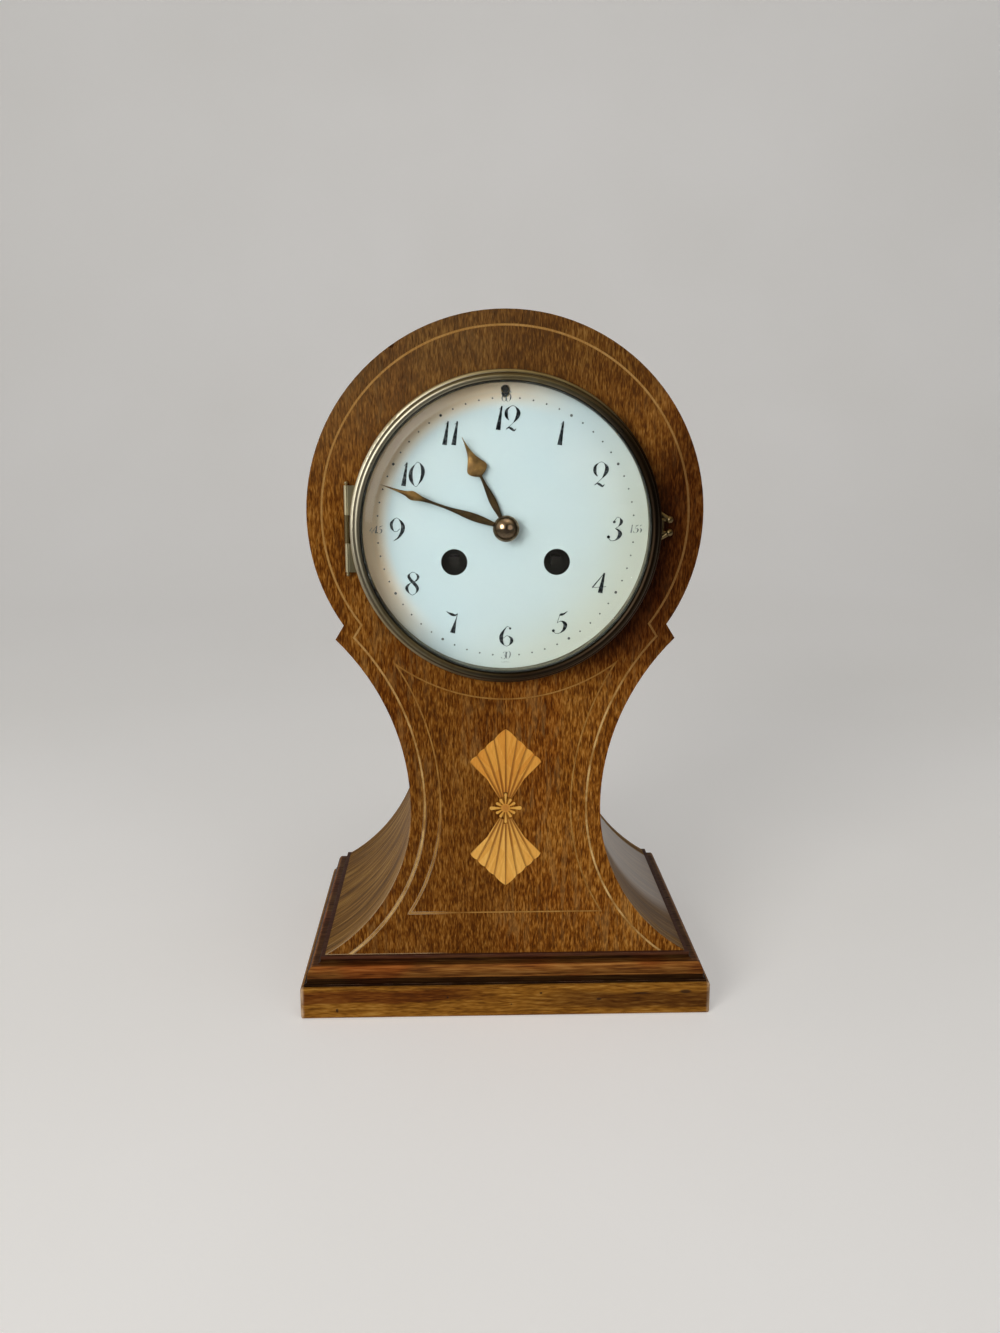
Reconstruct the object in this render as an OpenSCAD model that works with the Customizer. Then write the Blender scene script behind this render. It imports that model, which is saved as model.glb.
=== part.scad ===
// Balloon mantel clock: a waisted, inlaid mahogany case with a round eight-day striking movement.
// Millimetres, +Z up. The dial faces -Y and the origin is the middle of the plinth's underside.

/* [Case] */
// Radius of the round head
head_r = 71.8; // [70.4:0.2:73.4]
// Height of the head's centre above the table
head_z = 192; // [189:0.5:195]
// Half width of the waist at its narrowest
waist_half_w = 36; // [34.5:0.5:38]
// Height of the narrowest point of the waist
waist_z = 82; // [80:0.5:84]
// Radius of the hollow curve above the waist
upper_curve_r = 91.5; // [90:0.5:93]
// Radius of the hollow curve below the waist
lower_curve_r = 69.2; // [67:0.2:72]
// Half width across the shoulder points
shoulder_half_w = 62.6; // [61.6:0.2:63.4]
// Width of the notch between each shoulder and the head
notch_w = 3.2; // [2.4:0.2:4]
// Height of the notch between each shoulder and the head
notch_h = 5.2; // [4.4:0.2:6]
// Depth of the case from front to back
case_d = 113; // [111:1:118]
// Thickness of the front board
front_t = 9; // [7:0.5:10]
// Thickness of the back board
back_t = 8; // [7:0.5:9]
// Thickness of the curved case band
wall_t = 8; // [6:0.5:9]

/* [Plinth] */
// Height of the square block
block_h = 12.7; // [10:0.1:15]
// Height of the moulding on the block
moulding_h = 9.7; // [8.5:0.1:11.5]
// Overhang of the block at the front and the sides
overhang = 9; // [8:0.5:11]
// Overhang of the block at the back
back_overhang = 5; // [3:0.5:8]
// Rounding of the block's long edges
block_round = 1.4; // [0.8:0.1:2]
// Rounding of the block's upright corners
block_corner_r = 1.8; // [1:0.1:2.6]

/* [Inlay] */
// Width of the outer boxwood line
string_w = 0.85; // [0.6:0.05:1.2]
// Width of the panel's boxwood line
panel_string_w = 0.6; // [0.4:0.05:0.9]
// Distance of the outer line from the case edge
string_inset = 5.4; // [4.6:0.1:6.2]
// Distance of the panel line from the case edge
panel_inset = 11.3; // [10:0.1:12.5]
// Radius of the arc that closes the panel under the dial
panel_arc_r = 68.3; // [67.6:0.1:69.2]
// Height of the panel's lower line
panel_foot_z = 39.2; // [36:0.2:42]
// Depth that the inlay is let in
inlay_t = 0.8; // [0.6:0.1:1.4]
// Height of the rosette's centre
rosette_z = 81.2; // [80:0.2:82.4]
// Length of the rosette's upright petals
petal_l = 5.9; // [5.5:0.1:6.3]
// Length of the rosette's side petals
side_petal_l = 6.1; // [5.5:0.1:6.6]
// Length of the rosette's small petals
small_petal_l = 4.2; // [3.8:0.1:4.4]
// Length of each fan along its middle
fan_l = 31; // [28:0.5:33]
// Half width of each fan at its corners
fan_half_w = 13.5; // [12:0.25:15]
// Distance of the fan corners from the rosette's centre
fan_corner_l = 18; // [16:0.25:20]

/* [Dial and bezel] */
// Distance of the dial centre below the head's centre
dial_drop = 4.8; // [3.5:0.1:6]
// Radius of the enamel dial
dial_r = 51.4; // [50.6:0.2:52.4]
// Rise of the dial's convex face
dial_rise = 2.5; // [1.5:0.1:3]
// Thickness of the enamel dial
dial_t = 1.2; // [0.9:0.1:1.5]
// Radius of the winding holes
winding_hole_r = 4.8; // [4:0.1:5]
// Distance of each winding hole from the middle
winding_x = 18.8; // [18.6:0.1:19]
// Distance of the winding holes below the dial centre
winding_drop = 12.6; // [12.3:0.1:12.9]
// Width of the bezel ring
bezel_w = 4.6; // [4.2:0.1:5.2]
// Thickness of the bezel glass
glass_t = 2.4; // [2:0.1:2.8]
// Width of the ground bevel round the glass
glass_bevel_w = 3.75; // [3:0.25:7]
// Length of the bezel hinge
hinge_l = 31; // [28:0.5:36]
// Radius of the bezel hinge's knuckles
knuckle_r = 0.95; // [0.9:0.05:1.2]

/* [Hands] */
// Length of the hour hand
hour_l = 36; // [34:0.2:38]
// Half width of the hour hand's blade
hour_half_w = 3.8; // [3.2:0.1:4.2]
// Length of the minute hand
minute_l = 47.6; // [45:0.2:49]
// Half width of the minute hand's blade
minute_half_w = 1.65; // [1.4:0.05:1.9]
// Rest angle of the hour hand, clockwise from twelve
hour_angle = 334.1; // [0:0.1:360]
// Rest angle of the minute hand, clockwise from twelve
minute_angle = 289.4; // [0:0.1:360]
// Thickness of the hands
hand_t = 0.8; // [0.6:0.05:0.9]
// Radius of the domed hand nut
hand_nut_r = 4.8; // [4.2:0.1:5.4]

/* [Movement] */
// Radius of the movement plates
plate_r = 45; // [44.6:0.1:45.6]
// Thickness of the movement plates
plate_t = 2.2; // [1.8:0.1:2.6]
// Distance between the plates
plate_gap = 38; // [36.5:0.5:40]
// Depth of the front plate behind the case front
front_plate_s = 14; // [13.8:0.1:15]
// Outer radius of the barrel drums
drum_r = 16.5; // [15.5:0.1:17]
// Wall thickness of the barrel drums
drum_wall = 1.3; // [1:0.1:1.6]
// Across-flats size of the winding squares
winding_square = 3.4; // [3:0.1:3.8]
// Radius of the wheel pivots
pivot_r = 0.8; // [0.6:0.05:0.9]
// Radius of the wheel arbors
arbor_r = 1.1; // [1:0.05:1.2]
// Thickness of the train wheels
wheel_t = 1.4; // [1:0.1:1.6]

/* [Escapement and pendulum] */
// Height of the pallet arbor above the dial centre
pallet_rise = 36; // [35.6:0.1:36.4]
// Tip radius of the escape wheel
escape_r = 9.5; // [9:0.1:9.8]
// Half angle spanned by the pallets
pallet_span = 42.5; // [40:0.5:45]
// Length of the pendulum from its bending point to the bob's middle
pendulum_l = 105; // [102:0.5:108]
// Radius of the pendulum bob
bob_r = 17; // [15:0.5:19]
// Thickness of the pendulum bob
bob_t = 9; // [7:0.25:9.5]
// Radius of the pendulum rod
rod_r = 1.1; // [0.9:0.05:1.2]

/* [Strike] */
// Radius of the bell's rim
bell_r = 31; // [29:0.5:31.5]
// Depth of the bell
bell_h = 20; // [18:0.5:21]
// Thickness of the bell metal
bell_t = 2; // [1.4:0.1:2.4]
// Distance of the bell's middle below the dial centre
bell_drop = 6; // [5.5:0.25:8]
// Radius of the hammer head
hammer_r = 2.6; // [2:0.1:3]
// Radius swept by the fly
fly_r = 7; // [5.5:0.1:7.2]

/* [Back door] */
// Radius of the back door
door_r = 50.8; // [49.6:0.2:51.2]
// Thickness of the back door
door_t = 1.4; // [1:0.1:1.8]
// Radius of the opening in the back board
back_hole_r = 50; // [49.2:0.2:51]
// Radius of the door knob
knob_r = 3; // [2:0.1:4]
// Radius of the back door's hinge knuckles
door_knuckle_r = 1.5; // [1.3:0.05:1.6]

/* [Clearances] */
// Radial clearance of every running fit
run_gap = 0.05; // [0.03:0.01:0.08]
// Clearance of parts that pass without touching
pass_gap = 0.4; // [0.3:0.05:0.5]
// Clearance of seats and covers that lie close together
seat_gap = 0.2; // [0.15:0.05:0.3]

/* [Hidden] */
$fn = 96;
// Steps of the circles whose arcs are only a small part of a turn
fine_steps = 2400;
tiny = 0.01;

// Case outline
foot_z = block_h + moulding_h;
waist_drop = waist_z - foot_z;
foot_half_w = waist_half_w + lower_curve_r - sqrt(lower_curve_r * lower_curve_r - waist_drop * waist_drop);
tip_run = upper_curve_r + waist_half_w - shoulder_half_w;
tip = [shoulder_half_w, waist_z + sqrt(upper_curve_r * upper_curve_r - tip_run * tip_run)];
notch_way = [-notch_w, notch_h] / norm([notch_w, notch_h]);
notch_in = [-notch_way[1], notch_way[0]];
case_front_y = (overhang - back_overhang - case_d) / 2;
top_z = head_z + head_r;
far = 2 * top_z;

// Plinth moulding: overhang of each line and radii of the hollow and the round
fillet_out = 1.5;
fillet_h = 1.2;
hollow_r = 1.3;
face_out = overhang - 2.6;
foot_out = overhang - 1.5;
foot_fillet_h = 0.9;
cavetto_r = 1.1;

// Fans and rosette
fan_leaves = 8;
fan_half_angle = atan(fan_half_w / fan_corner_l);
fan_clear = 0.4;
fan_base_r = small_petal_l + fan_clear;
fan_middle_base_r = petal_l + fan_clear;
fan_scallop = 0.45;
fan_joint_angle = 0.15;
fan_waist = 0.86;
petal_end_r = 0.5;
side_petal_end_r = 0.75;
small_petal_end_r = 0.55;
rosette_eye_r = 1.7;
small_petal_angles = [30, 60, 120, 150, 210, 240, 300, 330];

// Dial, dial ring, bezel and glass; s is the depth behind the case front
dial_z = head_z - dial_drop;
dial_s = 2.7;
dial_edge_s = dial_s + dial_rise;
dial_ball_r = (dial_r * dial_r + dial_rise * dial_rise) / (2 * dial_rise);
seat_s = dial_edge_s + dial_t;
seat_t = 1.4;
seat_r = 40;
sleeve_in_r = dial_r + seat_gap;
sleeve_wall = 1.2;
sleeve_r = sleeve_in_r + sleeve_wall;
sleeve_short = 2;
sleeve_end_s = front_plate_s - sleeve_short;
flange_t = 1.3;
bezel_r = dial_r + bezel_w;
flange_inset = 1.4;
flange_r = bezel_r - flange_inset;
bezel_back_s = -flange_t - seat_gap;
rim_h = 3.4;
glass_back_s = bezel_back_s - rim_h;
glass_front_s = glass_back_s - glass_t;
glass_edge_t = glass_t / 2;
glass_bevel_t = 0.9;
sight_gap = 0.1;
sight_r = dial_r + sight_gap;
glass_rebate = 1.5;
glass_r = sight_r + glass_rebate;
bead_r = 1.55;
lip_t = 1;
bezel_step = 1.2;
claw_w = 1.2;
claw_t = 0.7;
ear_t = 1.2;
hinge_out = 0.2;
hinge_lift = 0.9;
hinge_x = -bezel_r - knuckle_r - hinge_out;
hinge_s = -knuckle_r - hinge_lift;
knuckle_l = hinge_l / 3;
hinge_pin_r = 0.45;
pin_ball_r = 0.7;
door_pin_r = 0.7;
foot_r = 1.8;
foot_inset = 2.7;
foot_ring_r = plate_r - foot_inset;
regulator_rise = 48;
regulator_r = 1.2;
regulator_hole_r = 1.6;
dial_centre_hole_r = 3.6;

// Hands: rows of [share of the length, share of the blade's half width]
HOUR_ROWS = [
    [0.12, 0.2], [0.17, 0.24], [0.22, 0.31], [0.28, 0.35], [0.33, 0.34], [0.39, 0.28], [0.45, 0.21],
    [0.5, 0.165], [0.565, 0.14], [0.58, 0.26], [0.595, 0.52], [0.62, 0.82], [0.655, 1], [0.69, 0.9],
    [0.725, 0.7], [0.78, 0.42], [0.83, 0.25], [0.89, 0.14], [0.945, 0.07], [1, 0.02]
];
MINUTE_ROWS = [
    [0.09, 0.46], [0.13, 0.58], [0.17, 0.73], [0.25, 0.86], [0.33, 0.74], [0.42, 0.44], [0.5, 0.31],
    [0.59, 0.32], [0.635, 0.41], [0.67, 0.52], [0.705, 0.76], [0.735, 0.97], [0.755, 1], [0.78, 0.76],
    [0.8, 0.55], [0.84, 0.36], [0.885, 0.25], [0.93, 0.17], [1, 0.03]
];
hour_pipe_r = 2.9;
cannon_r = 1.9;
hour_hand_s = 0.6;
minute_hand_s = -1.6;
nut_front_s = glass_back_s + pass_gap;
hand_hub_r = 4;

// Train counts: wheel and pinion pairs of each train
great_n = 84;
great_leaves = 14;
mid_n = 84;
centre_leaves = 7;
centre_n = 84;
third_leaves = 7;
third_n = 78;
escape_leaves = 6;
escape_n = 36;
second_n = 70;
pin_leaves = 7;
pin_n = 60;
warning_leaves = 6;
warning_n = 54;
fly_leaves = 6;
cannon_n = 14;
minute_n = 42;
minute_leaves = 10;
hour_n = 40;
strike_pins = 8;
small_hub_r = 2.4;
ratchet_n = 18;

// Modules of the meshes
great_m = 0.45;
mid_m = 0.4;
centre_m = 0.35;
third_m = 0.3;
pin_m = 0.35;
warning_m = 0.3;
cannon_m = 0.4;
hour_m = cannon_m * (cannon_n + minute_n) / (minute_leaves + hour_n);

// Tooth forms: rows of [height in modules from the pitch line, share of the width], widths in modules
WHEEL_FORM = [[-1.6, 1], [0.15, 0.96], [1.15, 0.28]];
LEAF_FORM = [[-1.65, 1], [0.1, 1], [0.6, 0.45]];
wheel_tooth_w = 1.4;
leaf_w = 1.05;
wide_leaf_w = 1.2;
wide_leaves = 11;

// Arbor positions seen from the front, measured from the dial centre
centre_at = [0, 0];
going_at = [winding_x, -winding_drop];
strike_at = [-winding_x, -winding_drop];
pallet_at = [0, pallet_rise];
escape_at = [0, pallet_rise - escape_r / cos(pallet_span)];
mid_at = meet(centre_at, spacing(mid_n, centre_leaves, mid_m), going_at,
    spacing(great_n, great_leaves, great_m));
third_at = meet(centre_at, spacing(centre_n, third_leaves, centre_m), escape_at,
    spacing(third_n, escape_leaves, third_m));
second_at = strike_at + polar(spacing(great_n, great_leaves, great_m), 105);
pin_at = second_at + polar(spacing(second_n, pin_leaves, mid_m), 80);
warning_at = pin_at + polar(spacing(pin_n, warning_leaves, pin_m), 20);
fly_at = warning_at + polar(spacing(warning_n, fly_leaves, warning_m), 95);
motion_at = [0, spacing(minute_n, cannon_n, cannon_m)];
hammer_at = [-37, 20];
regulator_at = [0, regulator_rise];
bell_at = [0, -bell_drop];
standard_x = 16;
standard_at = [standard_x, -bell_drop];
PILLARS_AT = [[20, 36.6], [-42, -1.5], [-14, -38.5], [14, -38.5]];

// Depths between the plates
inner_s = front_plate_s + plate_t;
back_plate_s = inner_s + plate_gap;
plate_back_s = back_plate_s + plate_t;
end_shake = 0.15;
barrel_lift = 1;
barrel_room = 15;
mid_step = 3;
upper_step = 4.5;
third_step = 3.5;
escape_step = 10;
warning_step = 20;
barrel_s = inner_s + barrel_lift;
barrel_h = plate_gap - barrel_room;
barrel_end_s = barrel_s + barrel_h;
great_t = 2.4;
cap_t = 1.4;
going_great_s = barrel_end_s - great_t;
mid_s = barrel_end_s + mid_step;
upper_s = mid_s + upper_step;
third_s = upper_s + third_step;
escape_s = inner_s + escape_step;
warning_s = inner_s + warning_step;
leaf_reach = 1;
short_reach = 0.5;
leaf_t = wheel_t + 2 * leaf_reach;
pillar_r = 2.5;
pillar_end_r = 1.5;
barrel_arbor_r = 2.2;
spring_hub_r = 5;
spring_strip = 0.5;
spring_turns = 7;
spring_steps = 20;
centre_arbor_r = 1.05;

// Phases that bring tooth to gap at every mesh
mid_phase = mesh_phase(bearing(centre_at, mid_at), 0, centre_leaves, mid_n);
great_phase = mesh_phase(bearing(mid_at, going_at), 0, great_leaves, great_n);
third_phase = mesh_phase(bearing(centre_at, third_at), 0, centre_n, third_leaves);
escape_phase = mesh_phase(bearing(third_at, escape_at), 0, third_n, escape_leaves);
strike_phase = mesh_phase(bearing(second_at, strike_at), 0, great_leaves, great_n);
pin_phase = mesh_phase(bearing(second_at, pin_at), 0, second_n, pin_leaves);
warning_phase = mesh_phase(bearing(pin_at, warning_at), 0, pin_n, warning_leaves);
fly_phase = mesh_phase(bearing(warning_at, fly_at), 0, warning_n, fly_leaves);
minute_phase = mesh_phase(bearing(centre_at, motion_at), 0, cannon_n, minute_n);
hour_phase = mesh_phase(bearing(motion_at, centre_at), 0, minute_leaves, hour_n);

// Ratchets, clicks and motion work in front of the front plate
ratchet_r = 7.5;
ratchet_root_r = 6.3;
ratchet_t = 1.8;
ratchet_lift = 0.6;
ratchet_s = front_plate_s - ratchet_lift - ratchet_t;
square_reach = 0.8;
square_s = seat_s - square_reach;
click_gap = 0.25;
click_pivot_r = 11.2;
click_tip_angle = -28;
click_pivot_angle = -72;
click_boss_r = 1.9;
click_t = 3;
click_nose = 1.4;
click_pin_r = 0.9;
motion_lift = 1;
hour_lift = 1.2;
pin_proud = 0.6;
minute_wheel_s = front_plate_s - motion_lift - wheel_t;
hour_wheel_s = minute_wheel_s - hour_lift - wheel_t;

// Behind the back plate
pallet_proud = 0.3;
pallet_clear = 1.2;
crutch_lift = 2.2;
crutch_s = plate_back_s + crutch_lift;
crutch_t = 1.6;
crutch_l = 31;
cock_lift = 7.6;
cock_s = plate_back_s + cock_lift;
cock_t = 2;
cock_post_r = 2.2;
cock_post_x = 11;
cock_post_rise = 40;
cock_edge = 0.8;
cock_low = 4;
block_s = cock_s + cock_t;
suspension_d = 10;
block_half_w = 4.5;
block_foot = 1.5;
block_head = 3;
block_low = pallet_rise + block_foot;
block_top = regulator_rise + block_head;
slot_w = 0.8;
rod_back = 0.5;
rod_s = block_s + suspension_d / 2 + rod_back;
spring_w = 4;
spring_t = 0.2;
spring_grip = 3.5;
tag_drop = 7;
spring_top = pallet_rise + spring_grip;
tag_top = pallet_rise - tag_drop;
tag_h = 4;
tag_half_w = 1.6;
tag_d = 4.4;
spring_tail = 2.4;
spring_low = tag_top - spring_tail;
bob_rise = pallet_rise - pendulum_l;
bob_ball_r = (bob_r * bob_r + bob_t * bob_t / 4) / bob_t;
bob_steps = 8;
nut_h = 4;
nut_r = 3.2;
rod_tail = 2.5;
nut_drop = 0.4;
rod_end = bob_rise - bob_r - nut_h - rod_tail;
bell_clear = 1.6;
bell_rim_s = block_s + suspension_d + bell_clear;
bell_ball_r = (bell_r * bell_r + bell_h * bell_h) / (2 * bell_h);
bell_top_s = bell_rim_s + bell_h;
bell_ball_s = bell_top_s - bell_ball_r;
standard_r = 1.8;
standard_foot_r = 3.2;
standard_foot_t = 2;
standard_lift = 4;
standard_arm_s = bell_rim_s + standard_lift;
standard_arm_t = 3;
standard_collar_r = 4;
collar_drop = 1.8;
collar_t = 3;
bell_nut_r = 3.4;
bell_nut_t = 2.6;
hammer_arbor_r = 1.2;
hammer_lift = 2;
hammer_s = bell_rim_s + hammer_lift;
hammer_hub_r = 2.6;
hammer_t = 1.8;
hammer_head_l = 6.4;
tail_boss = 0.9;
hammer_rest_gap = 0.7;
hammer_face_x = -bell_r - hammer_rest_gap;
pin_inset = 1.3;
pin_circle_r = pin_n * pin_m / 2 - pin_inset;
strike_pin_r = 0.5;
strike_pin_l = 1.6;
tail_t = 1.4;
tail_end_gap = 0.5;
fly_t = 0.6;
fly_l = 7;
fly_angle = 60;

// Straps, back ring and back door
strap_t = 1.4;
strap_x = sleeve_in_r - strap_t - 2 * seat_gap;
strap_half_w = 4.5;
strap_s = seat_s + seat_t;
back_board_s = case_d - back_t;
strap_short = 1.5;
strap_foot_l = 6.6;
screw_inset = 3.9;
strap_end_s = back_board_s - strap_short;
strap_foot_x = strap_x - strap_foot_l;
screw_x = strap_x - screw_inset;
screw_r = 1.2;
screw_head_r = 2.4;
screw_head_t = 2;
screw_slot_w = 0.5;
screw_tail = 4;
back_flange_w = 4;
back_ring_r = back_hole_r + back_flange_w;
back_sleeve_r = back_hole_r - seat_gap;
back_sleeve_in_r = back_sleeve_r - sleeve_wall;
back_lip_w = 4;
back_lip_r = screw_x - back_lip_w;
back_lip_t = 1.4;
back_flange_t = 1.4;
door_s = case_d + back_flange_t + seat_gap;
door_hinge_in = 0.6;
door_hinge_x = back_ring_r - door_hinge_in;
door_hinge_s = door_s + door_t + seat_gap;
door_hinge_l = 30;
door_knuckle_l = door_hinge_l / 3;
knob_inset = 8;
knob_x = -door_r + knob_inset;
door_bead_inset = 5;
door_bead_w = 2;
door_bead_t = 0.6;
door_pin_proud = 0.6;
knob_neck_r = 1.4;
knob_l = 3;

// Point at a radius and an angle
function polar(r, a) = [r * cos(a), r * sin(a)];
// Angle of the line from one point to another
function bearing(p, q) = atan2(q[1] - p[1], q[0] - p[0]);
// Centre distance of a wheel and a pinion
function spacing(n, leaves, m) = m * (n + leaves) / 2;
// Point at given distances from two points, on the left of the line between them
function meet(p, p_dist, q, q_dist) =
    let (d = norm(q - p))
    let (way = (q - p) / d)
    let (along = (p_dist * p_dist - q_dist * q_dist + d * d) / (2 * d))
    let (aside = sqrt(p_dist * p_dist - along * along))
    p + along * way + aside * [-way[1], way[0]];
// Phase of a driven wheel whose gap meets the driver's tooth on the line of centres
function mesh_phase(line, phase, driver_n, driven_n) =
    line + 180 + 180 / driven_n + (line - phase) * driver_n / driven_n;
// Points of an arc
function arc(c, r, from, to, steps) = [for (i = [0 : steps]) c + polar(r, from + (to - from) * i / steps)];
// Both edges of a hand, from its rows, its length and its blade's half width
function hand_points(rows, l, w) = concat(
    [for (row = rows) [row[1] * w, row[0] * l]],
    [for (i = [len(rows) - 1 : -1 : 0]) [-rows[i][1] * w, rows[i][0] * l]]
);

// Plate of a front-view shape, from a depth behind the case front
module slab(s, t) {
    translate([0, case_front_y + s + t, 0])
    rotate([90, 0, 0])
    linear_extrude(t)
    children();
}

// Solid turned about the line through a front-view point, from a profile of [radius, depth]
module turned(at) {
    translate([at[0], case_front_y, dial_z + at[1]])
    rotate([-90, 0, 0])
    rotate_extrude()
    children();
}

// Front-view shape moved to a point measured from the dial centre
module at_dial(at) {
    translate([at[0], dial_z + at[1]])
    children();
}

// Round bar along the depth at a point measured from the dial centre
module bar(at, r, s, t) {
    translate([at[0], case_front_y + s, dial_z + at[1]])
    rotate([-90, 0, 0])
    cylinder(r = r, h = t);
}

// Square bar along the depth
module square_bar(at, w, s, t) {
    slab(s, t)
    at_dial(at)
    square(w, center = true);
}

// Right half of the waist, set in from the case edge
module half_waist_2d(inset) {
    line = tip + inset * notch_in;
    low = line - head_r / 5 * notch_way;
    high = line + head_r / 2 * notch_way;
    difference() {
        polygon([[0, foot_z], [foot_half_w + overhang, foot_z], low, high, [0, high[1]]]);
        intersection() {
            translate([waist_half_w + upper_curve_r, waist_z])
            circle(r = upper_curve_r + inset);
            translate([0, waist_z])
            square(far);
        }
        intersection() {
            translate([waist_half_w + lower_curve_r, waist_z])
            circle(r = lower_curve_r + inset);
            translate([0, waist_z - far])
            square(far);
        }
    }
}

module both_waists_2d(inset) {
    half_waist_2d(inset);
    mirror([1, 0])
    half_waist_2d(inset);
}

// Case outline, set in from the edge
module outline_2d(inset) {
    translate([0, head_z])
    circle(r = head_r - inset);
    both_waists_2d(inset);
}

module outline_string_2d() {
    difference() {
        outline_2d(string_inset - string_w / 2);
        outline_2d(string_inset + string_w / 2);
    }
}

module panel_2d(shrink) {
    difference() {
        intersection() {
            both_waists_2d(panel_inset + shrink);
            translate([-far / 2, panel_foot_z + shrink])
            square(far);
        }
        translate([0, head_z])
        circle(r = panel_arc_r + shrink);
    }
}

module panel_string_2d() {
    difference() {
        panel_2d(-panel_string_w / 2);
        panel_2d(panel_string_w / 2);
    }
}

// Length of the fan at an angle from its middle
function fan_r(a) = fan_l / (cos(a) + (fan_l - fan_corner_l) / fan_half_w * sin(abs(a)));
// Point on a fan, its sides drawn in at half length
function fan_point(r, a, pinch) = [r * sin(a * pinch), r * cos(a * pinch)];

// One leaf of a fan, with a rounded end and a joint angle left free on both sides
module fan_leaf_2d(i, joint) {
    step = 2 * fan_half_angle / fan_leaves;
    from = -fan_half_angle + i * step + joint;
    to = from + step - 2 * joint;
    middle = (from + to) / 2;
    base_r = abs(middle) < step ? fan_middle_base_r : fan_base_r;
    polygon([
        fan_point(base_r, from, fan_waist),
        fan_point((fan_base_r + fan_r(from)) / 2, from, fan_waist),
        fan_point(fan_r(from), from, 1),
        fan_point(fan_r((from + middle) / 2) + fan_scallop * 0.75, (from + middle) / 2, 1),
        fan_point(fan_r(middle) + fan_scallop, middle, 1),
        fan_point(fan_r((to + middle) / 2) + fan_scallop * 0.75, (to + middle) / 2, 1),
        fan_point(fan_r(to), to, 1),
        fan_point((fan_base_r + fan_r(to)) / 2, to, fan_waist),
        fan_point(base_r, to, fan_waist)
    ]);
}

module at_rosette(turn) {
    translate([0, rosette_z])
    rotate(turn)
    children();
}

// Petal from the middle of the rosette, widening to its round end
module petal_2d(l, end_r) {
    end_at = l - end_r;
    flare = asin(end_r / end_at);
    translate([0, end_at])
    circle(r = end_r);
    polygon([
        [0, 0],
        [end_r * cos(flare), end_at - end_r * sin(flare)],
        [-end_r * cos(flare), end_at - end_r * sin(flare)]
    ]);
}

module rosette_2d() {
    at_rosette(0) {
        circle(r = rosette_eye_r);
        for (a = [0, 180]) {
            rotate(a)
            petal_2d(petal_l, petal_end_r);
        }
        for (a = [90, 270]) {
            rotate(a)
            petal_2d(side_petal_l, side_petal_end_r);
        }
        for (a = small_petal_angles) {
            rotate(a)
            petal_2d(small_petal_l, small_petal_end_r);
        }
    }
}

// Block with one edge profile on all four sides, the back overhang in proportion
module edged_block(rows, z) {
    back = back_overhang / overhang;
    count = len(rows);
    up = [for (i = [count - 1 : -1 : 0]) rows[i]];
    translate([0, 0, z])
    intersection() {
        translate([0, far / 2, 0])
        rotate([90, 0, 0])
        linear_extrude(far)
        polygon(concat(
            [for (row = rows) [foot_half_w + row[0], row[1]]],
            [for (row = up) [-foot_half_w - row[0], row[1]]]
        ));
        translate([-far / 2, 0, 0])
        rotate([90, 0, 90])
        linear_extrude(far)
        polygon(concat(
            [for (row = rows) [case_front_y + case_d + row[0] * back, row[1]]],
            [for (row = up) [case_front_y - row[0], row[1]]]
        ));
    }
}

// Toothed disc of a wheel or a pinion
module teeth_2d(n, m, phase, form, w) {
    pitch_r = n * m / 2;
    half = w * m / pitch_r / 2 * 180 / PI;
    polygon([
        for (i = [0 : n - 1])
        for (side = [-1, 1])
        for (k = side < 0 ? [0 : len(form) - 1] : [len(form) - 1 : -1 : 0])
        polar(pitch_r + form[k][0] * m, phase + 360 * i / n + side * form[k][1] * half)
    ]);
}

// Crossed-out train wheel
module wheel_2d(n, m, phase, spokes, hub) {
    rim = n * m / 2 - 3.4 * m - 0.8;
    spoke_w = hub * 0.45;
    difference() {
        teeth_2d(n, m, phase, WHEEL_FORM, wheel_tooth_w);
        difference() {
            circle(r = rim);
            circle(r = hub);
            for (i = [0 : spokes - 1]) {
                rotate(360 * i / spokes)
                translate([0, -spoke_w / 2])
                square([rim * 2, spoke_w]);
            }
        }
    }
}

module wheel(at, n, m, phase, s, spokes = 5, hub = 3) {
    slab(s, wheel_t)
    at_dial(at)
    wheel_2d(n, m, phase, spokes, hub);
}

module pinion(at, n, m, phase, s, t) {
    slab(s, t)
    at_dial(at)
    teeth_2d(n, m, phase, LEAF_FORM, n > wide_leaves ? wide_leaf_w : leaf_w);
}

// Arbor with a pivot in each plate, left out where its pinion runs in the next wheel
module arbor(at, leaf_s, leaf_t) {
    start_s = inner_s + end_shake;
    end_s = back_plate_s - end_shake;
    rest_s = leaf_s + leaf_t - tiny;
    bar(at, pivot_r, front_plate_s, plate_t + 2 * end_shake);
    bar(at, arbor_r, start_s, leaf_s - start_s + tiny);
    bar(at, arbor_r, rest_s, end_s - rest_s);
    bar(at, pivot_r, end_s - end_shake, plate_t + 2 * end_shake);
}

// Arbor with its pinion
module pinion_arbor(at, n, m, phase, s, t) {
    arbor(at, s, t);
    pinion(at, n, m, phase, s, t);
}

module front_panel() {
    color("sienna")
    difference() {
        slab(0, front_t)
        outline_2d(0);
        bar(centre_at, sleeve_r + seat_gap, -front_t, 3 * front_t);
        slab(-inlay_t, 2 * inlay_t) {
            outline_string_2d();
            panel_string_2d();
            rosette_2d();
            for (turn = [0, 180], i = [0 : fan_leaves - 1]) {
                at_rosette(turn)
                fan_leaf_2d(i, 0);
            }
        }
    }
}

module case_shell() {
    color("saddlebrown")
    slab(front_t, case_d - front_t - back_t)
    difference() {
        outline_2d(0);
        outline_2d(wall_t);
    }
}

module back_panel() {
    color("saddlebrown")
    difference() {
        slab(back_board_s, back_t)
        outline_2d(0);
        bar(centre_at, back_hole_r, back_board_s - back_t, 3 * back_t);
    }
}

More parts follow.
